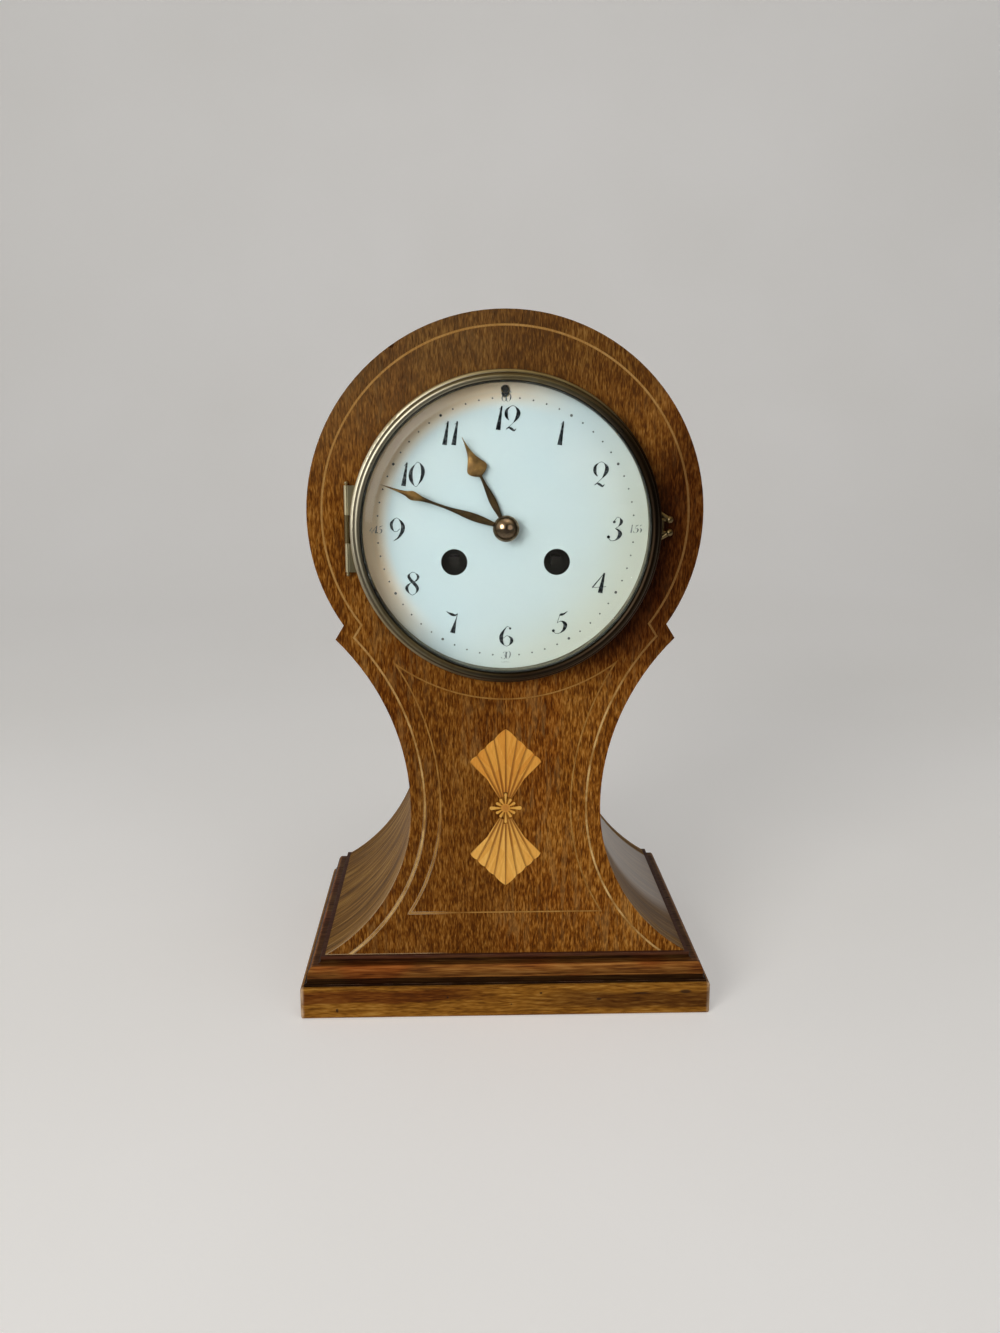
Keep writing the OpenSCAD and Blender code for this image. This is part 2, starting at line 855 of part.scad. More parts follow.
module plinth_moulding() {
    hollow_top = moulding_h - fillet_h;
    hollow_c = [fillet_out + hollow_r, hollow_top];
    round_top = [fillet_out + 2 * hollow_r, hollow_top - hollow_r];
    cavetto_c = [foot_out, foot_fillet_h + cavetto_r];
    face_low = foot_fillet_h + 2 * cavetto_r;
    round_h = round_top[1] - face_low;
    round_w = face_out - round_top[0];
    color("firebrick")
    edged_block(concat(
        [[foot_out, 0], [foot_out, foot_fillet_h]],
        arc(cavetto_c, cavetto_r, 270, 180, 5),
        [[cavetto_c[0] - cavetto_r, face_low]],
        [for (a = [0 : 15 : 90]) [round_top[0] + round_w * cos(a), face_low + round_h * sin(a)]],
        arc(hollow_c, hollow_r, 270, 180, 5),
        [[fillet_out, moulding_h]]
    ), block_h);
}

// Plan of the block with its upright corners rounded
module block_plan_2d() {
    half_w = foot_half_w + overhang;
    front = case_front_y - overhang;
    back = case_front_y + case_d + back_overhang;
    corner_x = half_w - block_corner_r;
    translate([-half_w, front + block_corner_r])
    square([2 * half_w, back - front - 2 * block_corner_r]);
    translate([-corner_x, front])
    square([2 * corner_x, back - front]);
    for (x = [-corner_x, corner_x], y = [front + block_corner_r, back - block_corner_r]) {
        translate([x, y])
        circle(r = block_corner_r);
    }
}

module plinth_block() {
    edge = overhang - block_round;
    color("peru")
    intersection() {
        edged_block(concat(
            arc([edge, block_round], block_round, 270, 360, 5),
            arc([edge, block_h - block_round], block_round, 0, 90, 5)
        ), 0);
        linear_extrude(block_h)
        block_plan_2d();
    }
}

module outline_stringing() {
    color("khaki")
    slab(0, inlay_t)
    outline_string_2d();
}

module panel_stringing() {
    color("khaki")
    slab(0, inlay_t)
    panel_string_2d();
}

module fan(turn) {
    for (i = [0 : fan_leaves - 1]) {
        slab(0, inlay_t)
        at_rosette(turn)
        fan_leaf_2d(i, fan_joint_angle);
    }
}

module upper_fan() {
    color("goldenrod")
    fan(0);
}

module lower_fan() {
    color("goldenrod")
    fan(180);
}

module rosette() {
    color("gold")
    slab(0, inlay_t)
    rosette_2d();
}

// Hinge knuckle along the height at a front-view x and depth
module knuckle(x, s, r, low, h) {
    translate([x, case_front_y + s, dial_z + low])
    cylinder(r = r, h = h);
}

// Flat ear that joins a round ring to its hinge
module ear(x_from, x_to, s, t, low, h) {
    translate([x_from, case_front_y + s, dial_z + low])
    cube([x_to - x_from, t, h]);
}

module dial_ring() {
    ear_to = -sleeve_r;
    low = -knuckle_l / 2 + seat_gap;
    h = knuckle_l - 2 * seat_gap;
    color("darkgoldenrod")
    difference() {
        union() {
            turned(centre_at)
            translate([sleeve_in_r, -flange_t])
            square([flange_r - sleeve_in_r, flange_t]);
            turned(centre_at)
            translate([sleeve_in_r, -flange_t])
            square([sleeve_r - sleeve_in_r, sleeve_end_s + flange_t]);
            turned(centre_at)
            translate([seat_r, seat_s])
            square([sleeve_r - seat_r, seat_t]);
            for (a = [45 : 90 : 315]) {
                bar(polar(foot_ring_r, a), foot_r, seat_s, front_plate_s - seat_s);
            }
            ear(hinge_x, ear_to, -flange_t, flange_t, low, h);
            ear(hinge_x, hinge_x + knuckle_r, hinge_s, -hinge_s, low, h);
            knuckle(hinge_x, hinge_s, knuckle_r, low, h);
        }
        knuckle(hinge_x, hinge_s, hinge_pin_r + run_gap, -hinge_l / 2, hinge_l);
        bar(regulator_at, regulator_hole_r, seat_s - seat_t, 3 * seat_t);
    }
}

module dial() {
    color("white")
    difference() {
        turned(centre_at)
        difference() {
            intersection() {
                translate([dial_centre_hole_r, 0])
                square([dial_r - dial_centre_hole_r, 2 * seat_s]);
                translate([0, dial_s + dial_ball_r])
                circle(r = dial_ball_r, $fn = fine_steps);
            }
            translate([0, dial_s + dial_t + dial_ball_r])
            circle(r = dial_ball_r, $fn = fine_steps);
        }
        bar(going_at, winding_hole_r, -seat_s, 3 * seat_s);
        bar(strike_at, winding_hole_r, -seat_s, 3 * seat_s);
        bar(regulator_at, regulator_hole_r, -seat_s, 3 * seat_s);
    }
}

module bezel_profile_2d() {
    wall_r = glass_r + seat_gap;
    step_r = bezel_r - bezel_step;
    lip_s = glass_back_s - glass_edge_t - seat_gap / 2;
    bead_s = lip_s - lip_t - bead_r * 0.4;
    translate([wall_r, lip_s - lip_t])
    square([step_r - wall_r, bezel_back_s - lip_s + lip_t]);
    translate([step_r, bezel_back_s - rim_h])
    square([bezel_step, rim_h]);
    translate([step_r, bezel_back_s - rim_h])
    circle(r = bezel_step);
    translate([(sight_r + step_r) / 2, bead_s])
    circle(r = bead_r);
    translate([sight_r, lip_s - lip_t])
    square([wall_r - sight_r + tiny, lip_t]);
    translate([wall_r - claw_w, glass_back_s + seat_gap / 2])
    square([claw_w + tiny, claw_t]);
}

module bezel() {
    knuckle_low = [-hinge_l / 2, knuckle_l / 2];
    ear_s = bezel_back_s - ear_t;
    color("goldenrod")
    difference() {
        union() {
            turned(centre_at)
            bezel_profile_2d();
            for (low = knuckle_low) {
                knuckle(hinge_x, hinge_s, knuckle_r, low, knuckle_l);
                difference() {
                    ear(hinge_x, -bezel_r * 0.9, ear_s, ear_t, low, knuckle_l);
                    bar(centre_at, bezel_r - bezel_step, -far / 2, far);
                }
            }
        }
        knuckle(hinge_x, hinge_s, hinge_pin_r + run_gap, -hinge_l, 2 * hinge_l);
        knuckle(hinge_x, hinge_s, knuckle_r + seat_gap, -knuckle_l / 2, knuckle_l);
    }
}

module bezel_glass() {
    flat_r = sight_r - glass_bevel_w;
    bevel_r = sight_r - seat_gap;
    edge_s = glass_back_s - glass_edge_t;
    color("lightcyan", 0.4)
    turned(centre_at)
    polygon([
        [0, glass_front_s],
        [flat_r, glass_front_s],
        [bevel_r, glass_front_s + glass_bevel_t],
        [bevel_r, edge_s],
        [glass_r, edge_s],
        [glass_r, glass_back_s],
        [0, glass_back_s]
    ]);
}

module bezel_hinge_pin() {
    reach = hinge_l / 2 + seat_gap;
    color("gold") {
        knuckle(hinge_x, hinge_s, hinge_pin_r, -reach - pin_ball_r / 2, 2 * reach + pin_ball_r);
        for (end = [-1, 1]) {
            translate([hinge_x, case_front_y + hinge_s, dial_z + end * (reach + pin_ball_r)])
            sphere(r = pin_ball_r);
        }
    }
}

// One drop of the thumb piece, with a stem that slants back to the bezel and a short one straight in
module thumb_drop(drop_r, out, lift, stem_r, stem_l, stem_a, root_in) {
    translate([out, 0, lift])
    sphere(r = drop_r);
    translate([out, 0, lift])
    rotate([0, -stem_a, 0])
    cylinder(r1 = drop_r * 0.7, r2 = stem_r, h = stem_l);
    translate([-root_in, 0, lift])
    rotate([0, 90, 0])
    cylinder(r = stem_r, h = out + root_in);
}

module thumb_piece() {
    lobe_r = 1.4;
    lobe_out = 2.8;
    lobe_lift = 2.3;
    stem_r = 0.6;
    stem_lift = 5;
    root_in = 1;
    web_in = 0.3;
    thumb_rise = 0.9;
    lobe_s = bezel_back_s - lobe_out + stem_r;
    stem_l = norm([lobe_out + root_in, stem_lift - lobe_lift]);
    stem_a = atan2(lobe_out + root_in, stem_lift - lobe_lift);
    color("goldenrod")
    difference() {
        translate([bezel_r, case_front_y + lobe_s, dial_z + thumb_rise]) {
            translate([stem_r - web_in, 0, -lobe_lift])
            cylinder(r = stem_r, h = 2 * lobe_lift);
            for (turn = [0, 180]) {
                rotate([turn, 0, 0])
                thumb_drop(lobe_r, lobe_out, lobe_lift, stem_r, stem_l, stem_a, root_in);
            }
        }
        bar(centre_at, bezel_r, -far / 2, far);
    }
}

// Hand pointing at an angle clockwise from twelve, with its round hub
module hand(rows, l, w, angle, s, hub_r, bore_r) {
    stem_w = rows[0][1] * w;
    slab(s, hand_t)
    at_dial(centre_at)
    rotate(-angle)
    difference() {
        union() {
            circle(r = hub_r);
            polygon(hand_points(rows, l, w));
            translate([-stem_w, 0])
            square([2 * stem_w, rows[0][0] * l]);
        }
        circle(r = bore_r);
    }
}

module hour_hand() {
    color("darkgoldenrod")
    hand(HOUR_ROWS, hour_l, hour_half_w, hour_angle, hour_hand_s, hand_hub_r, hour_pipe_r + run_gap / 2);
}

module minute_hand() {
    color("darkgoldenrod")
    hand(MINUTE_ROWS, minute_l, minute_half_w, minute_angle, minute_hand_s, hand_hub_r * 0.8,
        cannon_r + run_gap / 2);
}

module hand_nut() {
    dome_h = minute_hand_s - nut_front_s;
    dome_r = (hand_nut_r * hand_nut_r + dome_h * dome_h) / (2 * dome_h);
    color("goldenrod")
    difference() {
        intersection() {
            bar(centre_at, hand_nut_r, nut_front_s, dome_h);
            translate([0, case_front_y + nut_front_s + dome_r, dial_z])
            sphere(r = dome_r);
        }
        bar(centre_at, centre_arbor_r + run_gap / 2, nut_front_s + dome_h * 0.4, dome_h);
    }
}

// Round plate with a lug at the top for the regulator arbor
module plate_2d() {
    lug_r = 3.2;
    at_dial(centre_at)
    circle(r = plate_r);
    at_dial(regulator_at)
    circle(r = lug_r);
    at_dial([-lug_r, plate_r - lug_r * 2])
    square([2 * lug_r, regulator_rise - plate_r + lug_r * 2]);
}

// Bore along the depth through a plate
module bore(at, r, s) {
    bar(at, r, s - plate_t, 3 * plate_t);
}

// Bores that both plates share
module plate_bores(s) {
    for (at = [mid_at, third_at, escape_at, second_at, pin_at, warning_at, fly_at]) {
        bore(at, pivot_r + run_gap, s);
    }
    for (at = PILLARS_AT) {
        bore(at, pillar_end_r, s);
    }
    bore(regulator_at, regulator_r + run_gap, s);
}

module front_plate() {
    click_pin_s = ratchet_s - pin_proud;
    motion_pin_s = hour_wheel_s - motion_lift;
    color("gold") {
        difference() {
            slab(front_plate_s, plate_t)
            plate_2d();
            plate_bores(front_plate_s);
            bore(centre_at, arbor_r + run_gap, front_plate_s);
            bore(pallet_at, pivot_r + run_gap, front_plate_s);
            bore(hammer_at, pivot_r + run_gap, front_plate_s);
            bore(going_at, barrel_arbor_r + run_gap, front_plate_s);
            bore(strike_at, barrel_arbor_r + run_gap, front_plate_s);
        }
        bar(click_at(going_at, 1), click_pin_r, click_pin_s, front_plate_s - click_pin_s + tiny);
        bar(click_at(strike_at, -1), click_pin_r, click_pin_s, front_plate_s - click_pin_s + tiny);
        bar(motion_at, pivot_r, motion_pin_s, front_plate_s - motion_pin_s + tiny);
    }
}

module back_plate() {
    color("gold")
    difference() {
        slab(back_plate_s, plate_t)
        plate_2d();
        plate_bores(back_plate_s);
        bore(centre_at, pivot_r + run_gap, back_plate_s);
        bore(pallet_at, arbor_r + pallet_clear, back_plate_s);
        bore(hammer_at, hammer_arbor_r + run_gap, back_plate_s);
        bore(going_at, pivot_r * 2 + run_gap, back_plate_s);
        bore(strike_at, pivot_r * 2 + run_gap, back_plate_s);
    }
}

module pillars() {
    color("goldenrod")
    for (at = PILLARS_AT) {
        bar(at, pillar_r, inner_s, plate_gap);
        bar(at, pillar_end_r, front_plate_s, plate_gap + 2 * plate_t);
    }
}

// Barrel drum with its great wheel at one end and a cap let into the other
module barrel(at, phase, great_s, hollow_s, cap_s) {
    difference() {
        union() {
            slab(great_s, great_t)
            at_dial(at)
            teeth_2d(great_n, great_m, phase, WHEEL_FORM, wheel_tooth_w);
            bar(at, drum_r, barrel_s, barrel_h);
        }
        bar(at, drum_r - drum_wall, hollow_s, barrel_h - great_t + cap_t);
        bar(at, barrel_arbor_r + run_gap, 0, far);
    }
    difference() {
        bar(at, drum_r - drum_wall - run_gap, cap_s, cap_t);
        bar(at, barrel_arbor_r + run_gap, 0, far);
    }
}

module going_barrel() {
    color("goldenrod")
    barrel(going_at, great_phase, going_great_s, barrel_s - cap_t, barrel_s);
}

module strike_barrel() {
    color("goldenrod")
    barrel(strike_at, strike_phase, barrel_s, barrel_s + great_t, barrel_end_s - cap_t);
}

// Coiled mainspring strip
module mainspring(at) {
    from_r = spring_hub_r + pass_gap;
    to_r = drum_r - drum_wall - pass_gap - spring_strip;
    steps = spring_turns * spring_steps;
    slab(barrel_s + great_t + pass_gap, barrel_h - 2 * great_t - 2 * pass_gap)
    at_dial(at)
    polygon(concat(
        [for (i = [0 : steps]) polar(from_r + (to_r - from_r) * i / steps, 360 * i / spring_steps)],
        [for (i = [steps : -1 : 0])
            polar(from_r + (to_r - from_r) * i / steps + spring_strip, 360 * i / spring_steps)]
    ));
}

module going_mainspring() {
    color("steelblue")
    mainspring(going_at);
}

module strike_mainspring() {
    color("steelblue")
    mainspring(strike_at);
}

// Barrel arbor with its winding square, spring hub and rear pivot
module winding_arbor(at) {
    hub_s = barrel_s + great_t + pass_gap;
    square_l = front_plate_s - square_s - seat_gap;
    square_bar(at, winding_square, square_s, square_l + tiny);
    bar(at, barrel_arbor_r, front_plate_s - seat_gap, plate_t + plate_gap + seat_gap - end_shake);
    bar(at, spring_hub_r, hub_s, barrel_h - 2 * great_t - 2 * pass_gap);
    bar(at, pivot_r * 2, back_plate_s - 2 * end_shake, plate_t + 2 * end_shake);
}

module going_arbor() {
    color("silver")
    winding_arbor(going_at);
}

module strike_arbor() {
    color("silver")
    winding_arbor(strike_at);
}

// Saw-toothed ratchet on the winding square
module ratchet(at, side) {
    slab(ratchet_s, ratchet_t)
    at_dial(at)
    difference() {
        polygon([
            for (i = [0 : ratchet_n - 1])
            for (r = side > 0 ? [ratchet_root_r, ratchet_r] : [ratchet_r, ratchet_root_r])
            polar(r, 360 * i / ratchet_n)
        ]);
        square(winding_square + run_gap, center = true);
    }
}

module going_ratchet() {
    color("silver")
    ratchet(going_at, 1);
}

module strike_ratchet() {
    color("silver")
    ratchet(strike_at, -1);
}

// Pivot of a click beside its ratchet; side is 1 on the right and -1 on the left
function click_at(at, side) =
    at + [side * click_pivot_r * cos(click_pivot_angle), click_pivot_r * sin(click_pivot_angle)];

module click_2d() {
    tip_r = ratchet_r + click_gap;
    difference() {
        union() {
            polygon([
                polar(tip_r, click_tip_angle),
                polar(tip_r + click_t / 6, (click_tip_angle + click_pivot_angle) / 2),
                polar(click_pivot_r - click_boss_r * 0.9, click_pivot_angle),
                polar(click_pivot_r + click_boss_r * 0.9, click_pivot_angle),
                polar(tip_r + click_t, (click_tip_angle + click_pivot_angle) / 2),
                polar(tip_r + click_nose, click_tip_angle)
            ]);
            translate(polar(click_pivot_r, click_pivot_angle))
            circle(r = click_boss_r);
        }
        translate(polar(click_pivot_r, click_pivot_angle))
        circle(r = click_pin_r + run_gap);
    }
}

module going_click() {
    color("dimgray")
    slab(ratchet_s, ratchet_t)
    at_dial(going_at)
    click_2d();
}

module strike_click() {
    color("dimgray")
    slab(ratchet_s, ratchet_t)
    at_dial(strike_at)
    mirror([1, 0])
    click_2d();
}

module intermediate_wheel() {
    color("goldenrod") {
        pinion_arbor(mid_at, great_leaves, great_m, 0, going_great_s - leaf_reach, great_t + 2 * leaf_reach);
        wheel(mid_at, mid_n, mid_m, mid_phase, mid_s);
    }
}

module centre_wheel() {
    tail_s = nut_front_s + (minute_hand_s - nut_front_s) * 0.4 + seat_gap;
    color("goldenrod") {
        bar(centre_at, arbor_r, front_plate_s, plate_t + 2 * end_shake);
        bar(centre_at, centre_arbor_r, tail_s, front_plate_s - tail_s + tiny);
        pinion_arbor(centre_at, centre_leaves, mid_m, 0, mid_s - leaf_reach, leaf_t);
        wheel(centre_at, centre_n, centre_m, 0, upper_s);
    }
}

module third_wheel() {
    color("goldenrod") {
        pinion_arbor(third_at, third_leaves, centre_m, third_phase, upper_s - leaf_reach, leaf_t);
        wheel(third_at, third_n, third_m, 0, third_s, 4);
    }
}

// Escape wheel disc with leaning pointed teeth
module escape_2d() {
    root_r = escape_r * 0.86;
    hub = small_hub_r;
    rim = root_r - hub / 2;
    difference() {
        polygon([
            for (i = [0 : escape_n - 1])
            for (point = [[root_r, 0.1], [escape_r, 0.55], [escape_r, 0.62], [root_r, 0.5]])
            polar(point[0], 360 * (i + point[1]) / escape_n)
        ]);
        difference() {
            circle(r = rim);
            circle(r = hub);
            for (a = [0 : 90 : 270]) {
                rotate(a)
                translate([0, -hub / 4])
                square([2 * rim, hub / 2]);
            }
        }
    }
}

module escape_wheel() {
    color("goldenrod") {
        pinion_arbor(escape_at, escape_leaves, third_m, escape_phase, third_s - short_reach,
            wheel_t + 2 * short_reach);
        slab(escape_s, wheel_t)
        at_dial(escape_at)
        escape_2d();
    }
}

module cannon_pinion() {
    pipe_front_s = minute_hand_s;
    pipe_back_s = front_plate_s - seat_gap;
    color("silver")
    difference() {
        union() {
            bar(centre_at, cannon_r, pipe_front_s, pipe_back_s - pipe_front_s);
            pinion(centre_at, cannon_n, cannon_m, 0, minute_wheel_s - pass_gap, wheel_t + 2 * pass_gap);
        }
        bar(centre_at, centre_arbor_r + run_gap / 2, pipe_front_s - hand_t, far);
    }
}

module minute_wheel() {
    color("goldenrod")
    difference() {
        union() {
            wheel(motion_at, minute_n, cannon_m, minute_phase, minute_wheel_s, 4);
            pinion(motion_at, minute_leaves, hour_m, 0, hour_wheel_s - pass_gap,
                minute_wheel_s - hour_wheel_s + pass_gap + tiny);
        }
        bar(motion_at, pivot_r + run_gap, 0, front_plate_s);
    }
}

module hour_wheel() {
    pipe_l = hour_wheel_s + wheel_t - hour_hand_s;
    color("goldenrod")
    difference() {
        union() {
            bar(centre_at, hour_pipe_r, hour_hand_s, pipe_l);
            wheel(centre_at, hour_n, hour_m, hour_phase, hour_wheel_s, 4, hour_pipe_r + hour_lift);
        }
        bar(centre_at, cannon_r + run_gap, -far / 2, far);
    }
}

// Anchor that straddles the escape wheel
module anchor_2d() {
    swing_gap = 0.75;
    arm_t = 1.9;
    stem_w = 2.6;
    boss_r = 2.4;
    nib_angle = 5;
    in_r = escape_r + swing_gap;
    drop = pallet_at[1] - escape_at[1];
    reach = pallet_span + nib_angle;
    intersection() {
        difference() {
            circle(r = in_r + arm_t);
            circle(r = in_r);
        }
        polygon([[0, 0], polar(far, 90 - reach), [0, far], polar(far, 90 + reach)]);
    }
    translate([-stem_w / 2, in_r])
    square([stem_w, drop - in_r]);
    translate([0, drop])
    circle(r = boss_r);
}

module pallets() {
    color("lightsteelblue") {
        bar(pallet_at, pivot_r, front_plate_s, cock_s + cock_t - front_plate_s);
        bar(pallet_at, arbor_r, inner_s + end_shake, cock_s - inner_s - 2 * end_shake);
        slab(escape_s - pallet_proud, wheel_t + 2 * pallet_proud)
        at_dial(escape_at)
        anchor_2d();
    }
}

module crutch() {
    arm_w = 2;
    fork_w = 0.8;
    fork_h = 2.4;
    fork_past = 1;
    boss = 1.3;
    fork_x = rod_r + seat_gap;
    low = pallet_rise - crutch_l;
    color("goldenrod")
    difference() {
        union() {
            bar(pallet_at, arbor_r + boss, crutch_s, crutch_t);
            slab(crutch_s, crutch_t)
            at_dial([-arm_w / 2, low])
            square([arm_w, crutch_l]);
            slab(crutch_s, crutch_t)
            at_dial([-fork_x - fork_w, low])
            square([2 * fork_x + 2 * fork_w, fork_h]);
            for (x = [-fork_x - fork_w, fork_x]) {
                slab(crutch_s, rod_s + rod_r + fork_past - crutch_s)
                at_dial([x, low])
                square([fork_w, fork_h]);
            }
        }
        bar(pallet_at, arbor_r + run_gap / 2, 0, far);
    }
}

module back_cock() {
    plate_low = pallet_rise - cock_low;
    half_w = cock_post_x + cock_post_r + cock_edge;
    post_l = cock_s - plate_back_s + tiny;
    color("gold")
    difference() {
        union() {
            for (side = [-1, 1]) {
                bar([side * cock_post_x, cock_post_rise], cock_post_r, plate_back_s, post_l);
            }
            slab(cock_s, cock_t)
            at_dial([-half_w, plate_low])
            square([2 * half_w, cock_post_rise + cock_post_r + cock_edge - plate_low]);
            slab(cock_s, cock_t + suspension_d)
            at_dial([-block_half_w, block_low])
            square([2 * block_half_w, block_top - block_low]);
        }
        bar(pallet_at, pivot_r + run_gap, 0, far);
        bar(regulator_at, regulator_r + run_gap, 0, far);
        slab(rod_s - spring_w / 2 - pass_gap, spring_w + 2 * pass_gap)
        at_dial([-slot_w / 2, block_low - block_foot])
        square([slot_w, spring_top - block_low + block_foot + pass_gap]);
    }
}

module suspension_spring() {
    color("lightsteelblue")
    slab(rod_s - spring_w / 2, spring_w)
    at_dial([-spring_t / 2, spring_low])
    square([spring_t, spring_top - spring_low]);
}

module pendulum_rod() {
    color("silver")
    difference() {
        union() {
            slab(rod_s - tag_d / 2, tag_d)
            at_dial([-tag_half_w, tag_top - tag_h])
            square([2 * tag_half_w, tag_h]);
            translate([0, case_front_y + rod_s, dial_z + rod_end])
            cylinder(r = rod_r, h = tag_top - tag_h - rod_end + tiny);
        }
        slab(rod_s - spring_w / 2, spring_w)
        at_dial([-spring_t / 2, spring_low])
        square([spring_t, spring_top - spring_low]);
    }
}

module pendulum_bob() {
    ball_d = bob_ball_r - bob_t / 2;
    half_angle = asin(bob_r / bob_ball_r);
    color("goldenrod")
    difference() {
        turned([0, bob_rise])
        polygon(concat(
            arc([0, rod_s + ball_d], bob_ball_r, 270, 270 + half_angle, bob_steps),
            arc([0, rod_s - ball_d], bob_ball_r, 90 - half_angle, 90, bob_steps)
        ));
        translate([0, case_front_y + rod_s, dial_z + bob_rise - bob_r])
        cylinder(r = rod_r + run_gap / 2, h = 2 * bob_r);
    }
}

module rating_nut() {
    color("goldenrod")
    translate([0, case_front_y + rod_s, dial_z + bob_rise - bob_r - nut_h + nut_drop])
    difference() {
        cylinder(r = nut_r, h = nut_h - nut_drop);
        translate([0, 0, -nut_h])
        cylinder(r = rod_r + run_gap / 2, h = 3 * nut_h);
    }
}

module regulator_arbor() {
    end_s = block_s + suspension_d + rod_back;
    color("silver")
    bar(regulator_at, regulator_r, square_s, end_s - square_s);
}

module second_wheel() {
    color("goldenrod") {
        pinion_arbor(second_at, great_leaves, great_m, 0, barrel_s - short_reach, great_t + 2 * short_reach);
        wheel(second_at, second_n, mid_m, 0, mid_s);
    }
}

module pin_wheel() {
    color("goldenrod") {
        pinion_arbor(pin_at, pin_leaves, mid_m, pin_phase, mid_s - leaf_reach, leaf_t);
        wheel(pin_at, pin_n, pin_m, 0, upper_s, 4);
        for (i = [0 : strike_pins - 1]) {
            bar(pin_at + polar(pin_circle_r, 360 * (i + 0.5) / strike_pins), strike_pin_r, upper_s,
                wheel_t + strike_pin_l);
        }
    }
}

module warning_wheel() {
    color("goldenrod") {
        pinion_arbor(warning_at, warning_leaves, pin_m, warning_phase, upper_s - leaf_reach, leaf_t);
        wheel(warning_at, warning_n, warning_m, 0, warning_s, 4, small_hub_r);
    }
}

module fly() {
    vane_s = warning_s + wheel_t + 2 * leaf_reach;
    color("silver") {
        pinion_arbor(fly_at, fly_leaves, warning_m, fly_phase, warning_s - leaf_reach, leaf_t);
        slab(vane_s, fly_l)
        at_dial(fly_at)
        rotate(fly_angle)
        square([2 * fly_r, fly_t], center = true);
    }
}

// Flat lever between two front-view points
module lever(from, to, w, s, t) {
    slab(s, t)
    at_dial(from)
    rotate(bearing(from, to))
    translate([0, -w / 2])
    square([norm(to - from), w]);
}

module hammer() {
    head_at = [hammer_face_x - hammer_head_l / 2, -bell_drop];
    tail_l = norm(pin_at - hammer_at) - pin_circle_r - strike_pin_r - tail_end_gap;
    tail_s = upper_s + wheel_t + pass_gap;
    color("silver") {
        bar(hammer_at, pivot_r, front_plate_s, plate_t + 2 * end_shake);
        bar(hammer_at, hammer_arbor_r, inner_s + end_shake, hammer_s + hammer_t - inner_s - end_shake);
        bar(hammer_at, hammer_hub_r, hammer_s - hammer_t, 2 * hammer_t);
        lever(hammer_at, head_at, hammer_t, hammer_s - hammer_t / 2, hammer_t);
        translate([hammer_face_x - hammer_head_l, case_front_y + hammer_s, dial_z - bell_drop])
        rotate([0, 90, 0])
        cylinder(r = hammer_r, h = hammer_head_l);
        lever(hammer_at, hammer_at + polar(tail_l, bearing(hammer_at, pin_at)), hammer_t, tail_s, tail_t);
        bar(hammer_at, hammer_arbor_r + tail_boss, tail_s, tail_t);
    }
}

module bell() {
    color("burlywood")
    translate([0, case_front_y + bell_ball_s, dial_z - bell_drop])
    difference() {
        sphere(r = bell_ball_r);
        sphere(r = bell_ball_r - bell_t);
        translate([-far / 2, bell_rim_s - bell_ball_s - far, -far / 2])
        cube(far);
        rotate([-90, 0, 0])
        cylinder(r = standard_r + run_gap, h = far);
    }
}

module bell_standard() {
    collar_s = bell_top_s - bell_t - collar_drop;
    color("slategray") {
        bar(standard_at, standard_foot_r, plate_back_s, standard_foot_t);
        bar(standard_at, standard_r, plate_back_s, standard_arm_s + standard_arm_t - plate_back_s);
        lever(standard_at, bell_at, 2 * standard_r, standard_arm_s, standard_arm_t);
        bar(bell_at, standard_r, standard_arm_s, bell_top_s + bell_nut_t - standard_arm_s);
        difference() {
            bar(bell_at, standard_collar_r, collar_s, collar_t);
            translate([0, case_front_y + bell_ball_s, dial_z - bell_drop])
            difference() {
                sphere(r = bell_ball_r + bell_t);
                sphere(r = bell_ball_r - bell_t);
            }
        }
    }
}

module bell_nut() {
    color("goldenrod")
    difference() {
        translate([0, case_front_y + bell_top_s, dial_z - bell_drop])
        rotate([-90, 0, 0])
        cylinder(r = bell_nut_r, h = bell_nut_t - nut_drop, $fn = 6);
        bar(bell_at, standard_r + run_gap / 2, 0, far);
    }
}

// Strap along the case with its foot turned in behind the back ring
module strap() {
    foot_t = 1.5;
    difference() {
        union() {
            slab(strap_s, strap_end_s - strap_s)
            at_dial([strap_x, -strap_half_w])
            square([strap_t, 2 * strap_half_w]);
            slab(strap_end_s - foot_t, foot_t)
            at_dial([strap_foot_x, -strap_half_w])
            square([strap_x + strap_t - strap_foot_x, 2 * strap_half_w]);
        }
        bar([screw_x, 0], screw_r + run_gap / 2, 0, far);
    }
}

module movement_straps() {
    color("goldenrod") {
        strap();
        mirror([1, 0, 0])
        strap();
    }
}

module strap_screws() {
    head_s = back_board_s + seat_gap + back_lip_t;
    tip_s = strap_end_s - screw_tail;
    color("silver")
    for (x = [-screw_x, screw_x]) {
        difference() {
            union() {
                bar([x, 0], screw_r, tip_s, head_s - tip_s + tiny);
                bar([x, 0], screw_head_r, head_s, screw_head_t);
            }
            slab(head_s + screw_head_t * 0.6, screw_head_t)
            at_dial([x, 0])
            square([screw_slot_w, 3 * screw_head_r], center = true);
        }
    }
}

